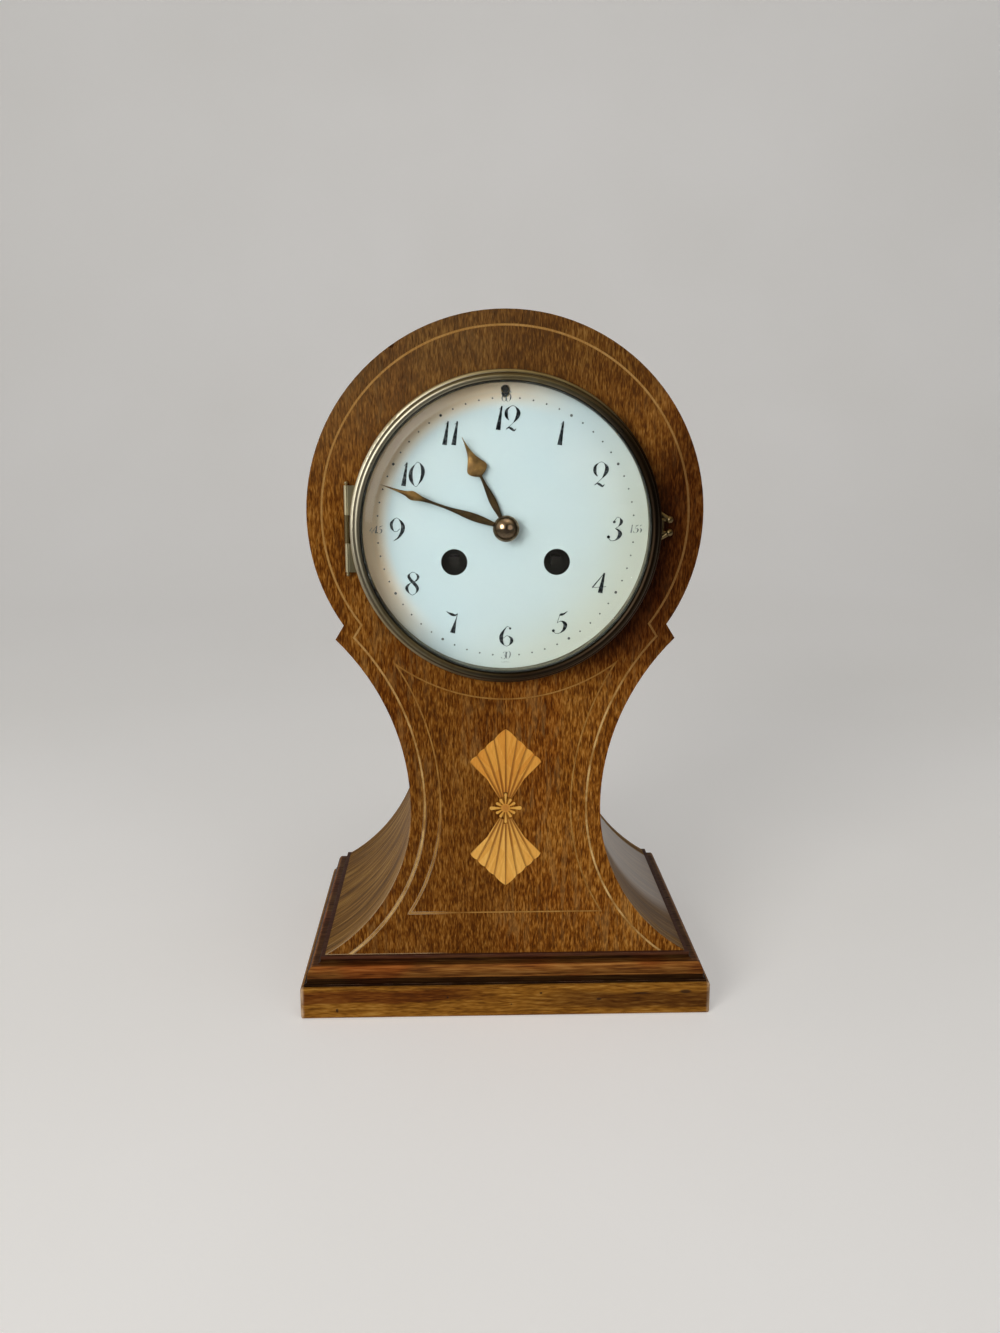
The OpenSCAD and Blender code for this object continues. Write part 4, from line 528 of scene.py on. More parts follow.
def satinwood_fan(name, upward, pale, deep):
    """Fan of leaves, each sand-scorched along its joints and towards the rosette."""
    paint = Paint(name)
    up = paint.times(paint.minus(paint.z, ROSETTE_Z), upward)
    angle = paint.calc("ARCTAN2", paint.x, up)
    pitch = 2 * FAN_HALF_ANGLE / FAN_LEAVES
    across = paint.calc("FRACT", paint.calc("DIVIDE", paint.plus(angle, FAN_HALF_ANGLE), pitch))
    out = paint.away(0.0, ROSETTE_Z)
    width = paint.times(out, pitch)
    first = paint.times(across, width)
    second = paint.times(paint.minus(1.0, across), width)
    each = paint.node("ShaderNodeNewGeometry").outputs["Random Per Island"]
    colour = paint.ramp(each, (0.0, deep), (1.0, pale))
    streaks = paint.noise((2400, 2400, 300), 2, 0.5, 0.2)
    colour = paint.mix(paint.span(streaks, 0.35, 0.7, 0, 0.35), colour, (0.74, 0.58, 0.42), "MULTIPLY")
    broad = paint.times(paint.span(first, *BROAD_BORDER), 0.85)
    narrow = paint.times(paint.span(second, *NARROW_BORDER), 0.8)
    outward = paint.span(out, *BORDER_OUT, 1.0, 0.42)
    colour = paint.mix(paint.times(paint.calc("MAXIMUM", broad, narrow), outward), colour, SCORCH)
    return paint.finish(
        Base_Color=colour, Roughness=paint.span(streaks, 0.3, 0.7, 0.38, 0.48), Specular_IOR_Level=0.15)


def rosette_wood():
    """Golden petals, a little scorched along their edges, round a deeper eye."""
    paint = Paint("rosette_wood")
    out = paint.span(paint.away(0.0, ROSETTE_Z), 0.0, ROSETTE_R)
    colour = paint.ramp(
        out, (0.05, (0.54, 0.225, 0.042)), (0.25, (0.70, 0.34, 0.055)), (0.9, (0.78, 0.43, 0.092)))
    fibre = paint.noise((2200, 2200, 600), 2)
    colour = paint.mix(paint.span(fibre, 0.35, 0.7, 0, 0.35), colour, (0.7, 0.52, 0.36), "MULTIPLY")
    colour = paint.mix(paint.times(paint.arris(0.3 * MM), 0.25), colour, SCORCH)
    return paint.finish(
        Base_Color=colour, Roughness=paint.span(fibre, 0.3, 0.7, 0.38, 0.48), Specular_IOR_Level=0.15)


def from_winding(paint):
    """Distance from the nearer winding arbor."""
    return paint.calc("MINIMUM", paint.away(WINDING_X, WINDING_Z), paint.away(-WINDING_X, WINDING_Z))


def dial_holes(paint):
    """1 in the winding holes and the regulator's hole, 0 elsewhere: where the hole walls are painted near
    black as shade.
    """
    soft = 0.05 * MM
    winding = paint.span(from_winding(paint), WINDING_HOLE_R + soft, WINDING_HOLE_R)
    regulator = paint.span(paint.away(0.0, REGULATOR_Z), REGULATOR_HOLE_R + soft, REGULATOR_HOLE_R)
    return paint.calc("MAXIMUM", winding, regulator)


# Changes of the enamel along a slant, each from no change to full change, in metres
ENAMEL_LEAN = 0.6
CREAMY_SLANT = (0.0, 0.055)
WARM_LIGHT_SLANT = (0.005, -0.045)


def enamel():
    """Cool white fired enamel, tan at its upper left rim as painted warm light from the bezel in its shadow,
    and creamy at the lower right.
    """
    paint = Paint("enamel")
    out = paint.calc("DIVIDE", paint.away(DIAL_X, DIAL_Z), DIAL_R)
    cloud = paint.noise(26, 2)
    colour = paint.ramp(cloud, (0.3, (0.478, 0.584, 0.618)), (0.7, (0.506, 0.594, 0.614)))
    along = slant(paint, ENAMEL_LEAN)
    creamy = paint.times(paint.span(along, *CREAMY_SLANT), paint.span(out, 0.5, 0.95, 0.25, 0.8))
    colour = paint.mix(creamy, colour, (0.520, 0.545, 0.455))
    # Painted warm light: a tan rim at the upper left, where the bezel shades the dial
    rim = paint.times(paint.span(out, 0.81, 0.95), paint.span(along, *WARM_LIGHT_SLANT, 0, 0.97))
    colour = paint.mix(rim, colour, (0.95, 0.73, 0.49))
    # The walls of the holes painted near black as shade
    colour = paint.mix(dial_holes(paint), colour, (0.012, 0.011, 0.010))
    ripple = paint.noise(320, 1)
    return paint.finish(
        Base_Color=colour, Roughness=paint.span(ripple, 0.3, 0.7, 0.1, 0.18),
        Normal=paint.bump(ripple, 0.01 * MM))


def dial_paint(name, rate, thick, thin, roughness):
    """Vitreous paint of the dial. Where it is thick and thin is given as a share of wear and a colour."""
    paint = Paint(name)
    wear = paint.noise(rate, 2)
    rough = paint.span(wear, 0.3, 0.7, roughness, roughness + 0.1)
    return paint.finish(Base_Color=paint.ramp(wear, thick, thin), Roughness=rough)


def clear_glass():
    """Old bevelled glass that bends what lies under it and lets the light through to the dial."""
    paint = Paint("clear_glass")
    dust = paint.noise(60, 3)
    glass = paint.shader(
        Base_Color=(0.97, 0.99, 0.985), Transmission_Weight=1.0, IOR=1.4,
        Roughness=paint.span(dust, 0.5, 0.8, 0.0, 0.012))
    through = paint.node("ShaderNodeBsdfTransparent", (0.94, 0.96, 0.955)).outputs[0]
    shadow_ray = paint.node("ShaderNodeLightPath").outputs["Is Shadow Ray"]
    return paint.close(paint.node("ShaderNodeMixShader", shadow_ray, glass, through).outputs[0])


def brass(name, bright, tarnish, spread, roughness):
    """Worked brass with fine marks and tarnish in patches."""
    paint = Paint(name)
    patch = paint.noise(70, 4, 0.6)
    colour = paint.mix(paint.span(patch, 0.66 - spread, 0.86, 0, 0.8), bright, tarnish)
    fine = paint.noise(900, 2)
    colour = paint.mix(paint.span(fine, 0.55, 0.75, 0, 0.4), colour, tarnish)
    marks = paint.noise(5200, 1)
    worn = paint.span(patch, 0.3, 0.8, roughness, roughness + 0.2)
    rough = paint.plus(worn, paint.span(fine, 0.4, 0.8, 0, 0.08))
    return paint.finish(
        Base_Color=colour, Metallic=1.0, Roughness=rough, Normal=paint.bump(marks, 0.004 * MM))


# Painted shade round the winding arbors, seen through the dial's holes, from none to black
HOLE_SHADE_R = (15 * MM, 10 * MM)


def front_plate_brass():
    """Front plate of the movement, painted black round the winding arbors as shade."""
    paint = Paint("front_plate_brass")
    patch = paint.noise(70, 4, 0.6)
    colour = paint.mix(paint.span(patch, 0.52, 0.78), (0.62, 0.47, 0.20), (0.30, 0.19, 0.07))
    hole_shade = paint.span(from_winding(paint), *HOLE_SHADE_R)
    colour = paint.mix(hole_shade, colour, (0.010, 0.008, 0.006))
    return paint.finish(
        Base_Color=colour, Metallic=paint.span(hole_shade, 0, 1, 1.0, 0.2),
        Roughness=paint.span(patch, 0.3, 0.8, 0.3, 0.5), Specular_IOR_Level=0.2)


# Painted highlight, painted shade and a dark ring on the bezel's brass, each from no change to full change,
# in metres: along a slant, by distance from the dial's middle, and across
BEZEL_LEAN = 0.5
HIGHLIGHT_SLANT = (-0.025, -0.055)
SHADE_SLANT = (-0.03, 0.035)
DARK_RING_INNER_R = (53.6 * MM, 53.9 * MM)
DARK_RING_OUTER_R = (54.85 * MM, 54.6 * MM)
SIGHT_SHADOW_R = (52.4 * MM, 52 * MM)
HINGE_LEAF_R = (BEZEL_R, BEZEL_R + 0.1 * MM)
HINGE_LEAF_X = (-0.03, -0.05)
HINGE_BARREL_X = (HINGE_X + 0.8 * MM, HINGE_X + 0.5 * MM)


def bezel_brass():
    """Aged brass of the bezel, pale on its upper left as a painted highlight, dark brown low on the right as
    painted shade, with a dark ring on its outer bead and painted shadow at the glass.
    """
    paint = Paint("bezel_brass")
    out = paint.away(DIAL_X, DIAL_Z)
    patch = paint.noise(60, 4, 0.6)
    colour = paint.ramp(
        patch, (0.35, (0.48, 0.43, 0.30)), (0.55, (0.40, 0.34, 0.20)), (0.75, (0.27, 0.20, 0.09)))
    along = slant(paint, BEZEL_LEAN)
    # Painted highlight on the upper left, painted shade low on the right
    colour = paint.mix(paint.span(along, *HIGHLIGHT_SLANT, 0, 0.8), colour, (0.72, 0.68, 0.53))
    colour = paint.mix(paint.span(along, *SHADE_SLANT, 0, 0.94), colour, (0.022, 0.009, 0.005))
    # A dark ring on the inner side of the outer bead
    dark_ring = paint.times(paint.span(out, *DARK_RING_INNER_R), paint.span(out, *DARK_RING_OUTER_R))
    colour = paint.mix(paint.times(dark_ring, 0.8), colour, (0.05, 0.038, 0.022))
    # Painted shadow: a black ring at the glass's edge
    sight_shadow = paint.span(out, *SIGHT_SHADOW_R)
    colour = paint.mix(paint.times(sight_shadow, 0.96), colour, (0.010, 0.007, 0.004))
    # The hinge leaf painted darker as shade, its barrel paler as a painted highlight
    leaf = paint.times(paint.span(out, *HINGE_LEAF_R), paint.span(paint.x, *HINGE_LEAF_X))
    barrel = paint.span(paint.x, *HINGE_BARREL_X)
    colour = paint.mix(paint.times(leaf, 0.9), colour, (0.25, 0.215, 0.12))
    colour = paint.mix(paint.times(leaf, paint.times(barrel, 0.85)), colour, (0.66, 0.60, 0.40))
    scratch = paint.noise((8000, 1, 1), 1, 0.5, 0, paint.join(out))
    return paint.finish(
        Base_Color=colour, Metallic=1.0, Roughness=paint.span(patch, 0.3, 0.8, 0.27, 0.4),
        Normal=paint.bump(scratch, 0.005 * MM))


def hand_bronze(name, stem_l, blade_l):
    """Dark bronzed brass of a hand, golden on its blade and darker along its stem."""
    paint = Paint(name)
    patch = paint.noise(220, 3, 0.6)
    colour = paint.ramp(
        patch, (0.35, (0.36, 0.205, 0.062)), (0.55, (0.20, 0.108, 0.032)), (0.75, (0.07, 0.037, 0.013)))
    stem = paint.span(paint.away(DIAL_X, DIAL_Z), blade_l, stem_l, 0, 0.85)
    colour = paint.mix(stem, colour, (0.036, 0.022, 0.008))
    fine = paint.noise(2600, 2)
    return paint.finish(
        Base_Color=colour, Metallic=0.8, Roughness=paint.span(patch, 0.3, 0.7, 0.34, 0.5),
        Normal=paint.bump(fine, 0.01 * MM))


def nut_bronze():
    """Domed hand nut of dark polished bronze."""
    paint = Paint("nut_bronze")
    patch = paint.noise(260, 3, 0.6)
    colour = paint.ramp(patch, (0.35, (0.30, 0.205, 0.13)), (0.7, (0.15, 0.095, 0.055)))
    return paint.finish(Base_Color=colour, Metallic=1.0, Roughness=paint.span(patch, 0.3, 0.7, 0.1, 0.2))


def steel(name, shade, roughness):
    """Grey or blackened steel with fine drawn marks."""
    paint = Paint(name)
    patch = paint.noise(120, 3, 0.6)
    colour = paint.mix(paint.span(patch, 0.45, 0.75, 0, 0.6), shade, tuple(0.45 * part for part in shade))
    drawn = paint.noise((3000, 400, 3000), 2)
    return paint.finish(
        Base_Color=colour, Metallic=1.0, Roughness=paint.span(drawn, 0.3, 0.7, roughness, roughness + 0.14),
        Normal=paint.bump(drawn, 0.006 * MM))


def bell_metal():
    """Bell bronze, turned and warm grey, with finger marks."""
    paint = Paint("bell_metal")
    patch = paint.noise(55, 4, 0.6)
    colour = paint.ramp(patch, (0.35, (0.52, 0.44, 0.31)), (0.75, (0.30, 0.22, 0.13)))
    rings = paint.noise((1, 2600, 1), 1, 0.5, 0)
    return paint.finish(
        Base_Color=colour, Metallic=1.0, Roughness=paint.span(patch, 0.3, 0.8, 0.22, 0.42),
        Normal=paint.bump(rings, 0.008 * MM))


# Nodes that share a metal. The other nodes of the movement are of its brass
FITTED_BRASS = ("bezel_hinge_pin", "back_ring", "back_door", "door_hinge_pin")
GREY_STEEL = (
    "going_mainspring", "strike_mainspring", "going_click", "strike_click", "pallets", "crutch",
    "suspension_spring", "hammer", "bell_standard", "strap_screws")
DARK_STEEL = ("going_arbor", "strike_arbor", "going_ratchet", "strike_ratchet", "regulator_arbor")


def dress_nodes():
    """Gives every CAD node its material."""
    movement = brass("movement_brass", (0.62, 0.47, 0.20), (0.30, 0.19, 0.07), 0.2, 0.24)
    fitted = brass("fitted_brass", (0.46, 0.39, 0.24), (0.20, 0.14, 0.06), 0.24, 0.24)
    grey_steel = steel("grey_steel", (0.42, 0.42, 0.43), 0.24)
    dark_steel = steel("dark_steel", (0.075, 0.07, 0.065), 0.3)
    string = boxwood("boxwood_line", (0.68, 0.45, 0.18), (0.36, 0.19, 0.052), 0.32 * MM)
    panel_string = boxwood("boxwood_panel_line", (0.43, 0.23, 0.058), (0.28, 0.13, 0.028), 0.2 * MM)
    looks = {
        "front_panel": mahogany_front(),
        "case_shell": mahogany_shell(),
        "back_panel": mahogany_back(),
        "plinth_moulding": mahogany_moulding(),
        "plinth_block": mahogany_block(),
        "outline_stringing": string,
        "panel_stringing": panel_string,
        "upper_fan": satinwood_fan("satinwood_upper", 1.0, (0.80, 0.39, 0.070), (0.69, 0.285, 0.040)),
        "lower_fan": satinwood_fan("satinwood_lower", -1.0, (0.90, 0.50, 0.115), (0.79, 0.385, 0.070)),
        "rosette": rosette_wood(),
        "dial": enamel(),
        "bezel": bezel_brass(),
        "bezel_glass": clear_glass(),
        # The dial ring's and the thumb piece's brass darkened as painted shade
        "dial_ring": brass("shaded_dull_brass", (0.20, 0.16, 0.085), (0.09, 0.06, 0.028), 0.24, 0.34),
        "thumb_piece": brass("shaded_thumb_brass", (0.30, 0.225, 0.11), (0.10, 0.062, 0.026), 0.24, 0.2),
        "hand_nut": nut_bronze(),
        "bell": bell_metal(),
        "front_plate": front_plate_brass(),
    }
    for material, names in ((fitted, FITTED_BRASS), (grey_steel, GREY_STEEL), (dark_steel, DARK_STEEL)):
        for name in names:
            looks[name] = material
    for name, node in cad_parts.items():
        node.data.materials.clear()
        node.data.materials.append(looks.get(name, movement))


def dial_y(x, z):
    """Depth of the dial's convex face at a point beside its centre."""
    def sag(r):
        return DIAL_BALL_R - math.sqrt(DIAL_BALL_R ** 2 - r * r)
    return DIAL_LOW.y - sag(DIAL_HOLE_R) + sag(math.hypot(x, z))


# Painted figures: strokes of points (across, up, half width) in millimetres from the figure's middle
HAIR = 0.09
WEDGE = [(0.75, 4.2, 0.28), (-0.65, -4.2, 0.88)]
FIGURES = {
    "0": [
        [(1.4, 3.9, 0.15), (2.2, 2.3, 0.6), (2.35, 0.5, 0.7), (1.8, -1.6, 0.5), (0.8, -3.4, 0.15)],
        [(-0.6, 3.3, 0.15), (-1.7, 1.6, 0.5), (-2.1, -0.4, 0.72), (-1.8, -2.3, 0.58), (-1.0, -3.9, 0.15)],
        [(-0.6, 3.3, HAIR), (0.4, 4.3, HAIR), (1.4, 3.9, HAIR)],
        [(-1.0, -3.9, HAIR), (-0.1, -4.4, HAIR), (0.8, -3.4, HAIR)],
    ],
    "1": [WEDGE, [(0.75, 4.1, HAIR), (-0.2, 3.0, HAIR)]],
    "2": [
        [(-1.0, 3.9, 0.1), (-2.05, 2.8, 0.45), (-2.3, 1.4, 0.6), (-2.0, 0.15, 0.42), (-1.3, -0.8, 0.1)],
        [(-1.0, 3.9, HAIR), (0.1, 4.35, HAIR), (1.1, 3.9, HAIR)],
        [(1.1, 3.9, 0.12), (2.0, 2.6, 0.58), (2.05, 1.3, 0.74), (1.4, -0.15, 0.52), (0.4, -1.5, 0.12)],
        [(0.4, -1.5, HAIR), (-0.9, -2.7, HAIR), (-2.4, -4.0, HAIR)],
        [(-2.4, -4.0, HAIR), (-1.4, -3.35, 0.28), (-0.4, -3.8, 0.46), (0.5, -4.4, 0.3), (1.3, -3.7, HAIR)],
    ],
    "3": [
        [(-0.1, 3.0, HAIR), (0.9, 4.3, HAIR), (1.9, 3.95, HAIR)],
        [(1.9, 3.95, 0.1), (2.45, 2.8, 0.55), (2.1, 1.8, 0.45), (1.4, 0.95, 0.1)],
        [(1.4, 0.95, HAIR), (0.2, 0.1, HAIR)],
        [(0.2, 0.1, HAIR), (1.4, -0.5, 0.35), (2.05, -1.8, 0.74), (1.3, -3.3, 0.48), (0.1, -4.2, 0.12)],
        [(0.1, -4.2, 0.12), (-1.3, -4.3, HAIR), (-2.2, -3.4, HAIR)],
    ],
    "4": [
        [(1.85, 3.75, 0.3), (0.35, -3.75, 0.9)],
        [(1.5, 3.3, 0.12), (-2.6, -1.7, 0.26)],
        [(-2.6, -1.65, HAIR), (2.6, -1.4, HAIR)],
    ],
    "5": [
        [(-0.1, 2.5, 0.1), (0.5, 2.85, 0.48), (1.5, 3.1, 0.34), (2.9, 4.1, HAIR)],
        [(0.05, 2.6, HAIR), (-0.9, -0.3, HAIR)],
        [(-0.9, -0.25, HAIR), (0.5, 0.4, 0.14), (1.7, -0.2, 0.55), (2.15, -1.2, 0.74), (1.6, -2.9, 0.48),
         (0.3, -4.1, 0.12)],
        [(0.3, -4.1, 0.12), (-1.2, -4.3, HAIR), (-2.2, -3.6, HAIR)],
    ],
    "6": [
        [(1.5, 3.4, HAIR), (0.6, 3.9, HAIR), (0.1, 3.55, HAIR)],
        [(0.1, 3.55, 0.1), (-0.95, 2.1, 0.36), (-1.75, 0.2, 0.7), (-1.6, -1.8, 0.58), (-0.7, -3.25, 0.12)],
        [(-0.7, -3.25, HAIR), (0.3, -3.65, HAIR), (1.3, -3.2, HAIR)],
        [(1.3, -3.2, 0.12), (2.05, -2.0, 0.55), (2.0, -0.8, 0.5), (1.0, 0.15, 0.12)],
        [(1.0, 0.15, HAIR), (0.2, 0.3, HAIR), (-1.0, -0.6, HAIR)],
    ],
    "7": [
        [(-2.1, 4.3, 0.1), (-1.2, 3.65, 0.3), (0.0, 3.1, 0.54), (1.1, 2.85, 0.3), (2.0, 3.5, HAIR)],
        [(2.0, 3.5, HAIR), (1.5, 1.6, 0.15)],
        [(1.5, 1.6, 0.15), (1.0, -0.2, 0.42), (0.05, -3.9, 1.0)],
    ],
    "8": [
        [(-0.9, 3.7, 0.15), (-1.3, 2.8, 0.5), (-0.7, 1.6, 0.55), (0.4, 0.4, 0.6), (1.5, -0.9, 0.6),
         (1.9, -2.0, 0.5), (1.4, -3.3, 0.2)],
        [(-0.9, 3.7, HAIR), (0.2, 4.35, HAIR), (1.3, 3.9, HAIR)],
        [(1.3, 3.9, 0.12), (2.2, 2.7, 0.45), (1.7, 1.5, 0.3), (0.6, 0.6, 0.1)],
        [(0.0, 0.7, 0.1), (-0.9, 0.1, 0.18), (-2.0, -1.2, 0.54), (-1.9, -2.4, 0.48), (-1.2, -3.5, 0.12)],
        [(-1.2, -3.5, HAIR), (0.0, -4.2, HAIR), (1.4, -3.3, HAIR)],
    ],
    "9": [
        [(-0.8, 3.9, 0.12), (-1.9, 2.4, 0.5), (-1.9, 0.8, 0.5), (-1.1, -0.6, 0.12)],
        [(-1.1, -0.6, HAIR), (-0.1, -0.75, HAIR), (1.2, 0.4, HAIR)],
        [(-0.8, 3.9, HAIR), (0.0, 4.2, HAIR), (0.8, 3.8, HAIR)],
        [(0.8, 3.8, 0.12), (1.95, 2.2, 0.55), (2.25, 0.6, 0.74), (1.7, -1.2, 0.6), (0.4, -3.0, 0.3),
         (-1.3, -4.15, HAIR)],
    ],
}
# Round ends of the figures that have them: across, up, radius
FIGURE_BALLS = {
    "3": [(-0.2, 2.55, 0.52), (-2.25, -2.9, 0.6)],
    "5": [(-2.25, -3.2, 0.55)],
    "6": [(1.55, 3.1, 0.42)],
}
# Distance between the two figures of ten, eleven and twelve
PAIR_GAP = {10: 4.1, 11: 3.3, 12: 4.6}
# Painted rings, in millimetres, their middle a little below and right of the dial's
RING_X = 0.2
RING_Z = -0.7
FIGURE_RING_R = 39.8
DOT_RING_R = 47.0
MINUTE_RING_R = 46.9
# How far the paint stands before the enamel and reaches into it, in metres
PAINT_PROUD = 0.04 * MM
PAINT_DEEP = 0.05 * MM
# Dots of the minute track in millimetres, and its figures by the size of the hour figures
DOT_R = 0.32
FIVE_DOT_R = 0.52
MINUTE_FIGURE_SIZE = 0.36
MINUTE_FIGURE_GAP = 4.4


def between(a, b, c, d, t):
    """Value at a share t of the way from b to c, on the smooth curve through a, b, c and d."""
    square = 2 * a - 5 * b + 4 * c - d
    cube = 3 * b - a - 3 * c + d
    return 0.5 * (2 * b + (c - a) * t + square * t * t + cube * t ** 3)


def smooth_stroke(points, pieces=10):
    """Points of a curve through the given ones, with the half width carried along."""
    if len(points) == 2:
        return points
    rows = [points[0], *points, points[-1]]
    made = []
    for before, start, end, after in zip(rows, rows[1:], rows[2:], rows[3:]):
        for step in range(pieces):
            share = step / pieces
            made.append(tuple(between(*values, share) for values in zip(before, start, end, after)))
    return [*made, points[-1]]


def paint_patch(bm, outline):
    """Front and back points of a thin film of paint with an outline of dial points, on the convex face."""
    front = [bm.verts.new((DIAL_X + x, dial_y(x, z) - PAINT_PROUD, DIAL_Z + z)) for x, z in outline]
    back = [bm.verts.new((DIAL_X + x, dial_y(x, z) + PAINT_DEEP, DIAL_Z + z)) for x, z in outline]
    return front, back


def paint_stroke(bm, points, place):
    """One brush stroke with flat ends, as a closed ribbon."""
    curve = smooth_stroke(points)
    left, right = [], []
    for i, (x, z, half) in enumerate(curve):
        ahead = curve[min(i + 1, len(curve) - 1)]
        behind = curve[max(i - 1, 0)]
        way = Vector((ahead[0] - behind[0], ahead[1] - behind[1])).normalized()
        left.append(place(x - way.y * half, z + way.x * half))
        right.append(place(x + way.y * half, z - way.x * half))
    left_front, left_back = paint_patch(bm, left)
    right_front, right_back = paint_patch(bm, right)
    for i in range(len(curve) - 1):
        bm.faces.new((left_front[i], left_front[i + 1], right_front[i + 1], right_front[i]))
        bm.faces.new((left_back[i], right_back[i], right_back[i + 1], left_back[i + 1]))
        bm.faces.new((left_front[i], left_back[i], left_back[i + 1], left_front[i + 1]))
        bm.faces.new((right_front[i], right_front[i + 1], right_back[i + 1], right_back[i]))
    for i in (0, -1):
        bm.faces.new((left_front[i], right_front[i], right_back[i], left_back[i]))


def paint_dot(bm, x, z, r, place, sides=16):
    """Round dot of paint."""
    ring = [2 * math.pi * i / sides for i in range(sides)]
    front, back = paint_patch(bm, [place(x + r * math.cos(a), z + r * math.sin(a)) for a in ring])
    bm.faces.new(front)
    bm.faces.new(back[::-1])
    for i in range(sides):
        bm.faces.new((front[i - 1], back[i - 1], back[i], front[i]))


def paint_number(bm, number, x, z, size, gap):
    """A number of one or two figures with its middle at a dial point, in millimetres."""
    text = str(number)
    for i, figure in enumerate(text):
        shift = (i - (len(text) - 1) / 2) * gap

        def place(across, up):
            return (x + (across + shift) * size) * MM, (z + up * size) * MM
        for stroke in FIGURES[figure]:
            paint_stroke(bm, stroke, place)
        for across, up, r in FIGURE_BALLS.get(figure, []):
            paint_dot(bm, across, up, r, place)


def add_object(name, data):
    """A new object of the scene."""
    made = bpy.data.objects.new(name, data)
    bpy.context.scene.collection.objects.link(made)
    return made


def add_mesh(name, bm, material, smooth):
    """A new mesh object from bmesh geometry in metres of the shared frame."""
    mesh = bpy.data.meshes.new(name)
    bm.to_mesh(mesh)
    bm.free()
    mesh.materials.append(material)
    if smooth:
        mesh.shade_smooth()
    else:
        mesh.shade_flat()
    return add_object(name, mesh)


def new_piece(name, bm, material, body, smooth=True):
    """A mesh piece that rides on a body."""
    bmesh.ops.recalc_face_normals(bm, faces=bm.faces)
    piece = add_mesh(name, bm, material, smooth)
    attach(piece, body)
    return piece


def ring_point(r, minute):
    """Point of a painted ring at a minute of the hour, in millimetres from the dial's middle."""
    angle = math.radians(6 * minute)
    return RING_X + r * math.sin(angle), RING_Z + r * math.cos(angle)


def dial_painting():
    """Hour figures, minute dots and the four small minute figures."""
    black = dial_paint("dial_black", 900, (0.42, (0.004, 0.007, 0.010)), (0.75, (0.035, 0.045, 0.05)), 0.2)
    grey = dial_paint("dot_paint", 700, (0.4, (0.020, 0.022, 0.022)), (0.7, (0.10, 0.105, 0.10)), 0.25)
    faint = dial_paint("figure_paint", 700, (0.4, (0.05, 0.06, 0.065)), (0.7, (0.24, 0.27, 0.27)), 0.25)
    hours = bmesh.new()
    for hour in range(1, 13):
        paint_number(hours, hour, *ring_point(FIGURE_RING_R, 5 * hour), 1.0, PAIR_GAP.get(hour, 0))
    new_piece("hour_figures", hours, black, "case", smooth=False)
    dots = bmesh.new()
    for minute in range(60):
        if minute % 15 == 0:
            continue
        r = FIVE_DOT_R if minute % 5 == 0 else DOT_R
        paint_dot(dots, *ring_point(DOT_RING_R, minute), r, lambda x, z: (x * MM, z * MM))
    new_piece("minute_dots", dots, grey, "case", smooth=False)
    minutes = bmesh.new()
    for minute in (15, 30, 45, 60):
        x, z = ring_point(MINUTE_RING_R, minute)
        paint_number(minutes, minute, x, z, MINUTE_FIGURE_SIZE, MINUTE_FIGURE_GAP)
    new_piece("minute_figures", minutes, faint, "case", smooth=False)


# Hand outlines, the same rows as the frame's hands: share of the length, share of the blade's half width
HOUR_ROWS = [
    (0.12, 0.2), (0.17, 0.24), (0.22, 0.31), (0.28, 0.35), (0.33, 0.34), (0.39, 0.28), (0.45, 0.21),
    (0.5, 0.165), (0.565, 0.14), (0.58, 0.26), (0.595, 0.52), (0.62, 0.82), (0.655, 1), (0.69, 0.9),
    (0.725, 0.7), (0.78, 0.42), (0.83, 0.25), (0.89, 0.14), (0.945, 0.07), (1, 0.02)]
MINUTE_ROWS = [
    (0.09, 0.46), (0.13, 0.58), (0.17, 0.73), (0.25, 0.86), (0.33, 0.74), (0.42, 0.44), (0.5, 0.31),
    (0.59, 0.32), (0.635, 0.41), (0.67, 0.52), (0.705, 0.76), (0.735, 0.97), (0.755, 1), (0.78, 0.76),
    (0.8, 0.55), (0.84, 0.36), (0.885, 0.25), (0.93, 0.17), (1, 0.03)]
# Hands: sizes in metres, angles clockwise from twelve in degrees, the tip as a share of the half width
HOUR_SIZES = {"length": 36 * MM, "half_w": 3.8 * MM, "hub_r": 4 * MM, "bore_r": 3 * MM, "angle": 334.1}
MINUTE_SIZES = {"length": 47.6 * MM, "half_w": 1.65 * MM, "hub_r": 3.2 * MM, "bore_r": 2 * MM, "angle": 289.4}
HUB_SOFT = 0.2 * MM
HAND_TIP_W = 0.02
HAND_CREASE = math.radians(28)
# Section of a hand from edge to edge: share of its half width, share of its height
HAND_SECTION = [
    (-1, 0.3), (-0.9, 0.45), (-0.45, 0.72), (-0.1, 0.96), (0.1, 0.96), (0.45, 0.72), (0.9, 0.45), (1, 0.3)]


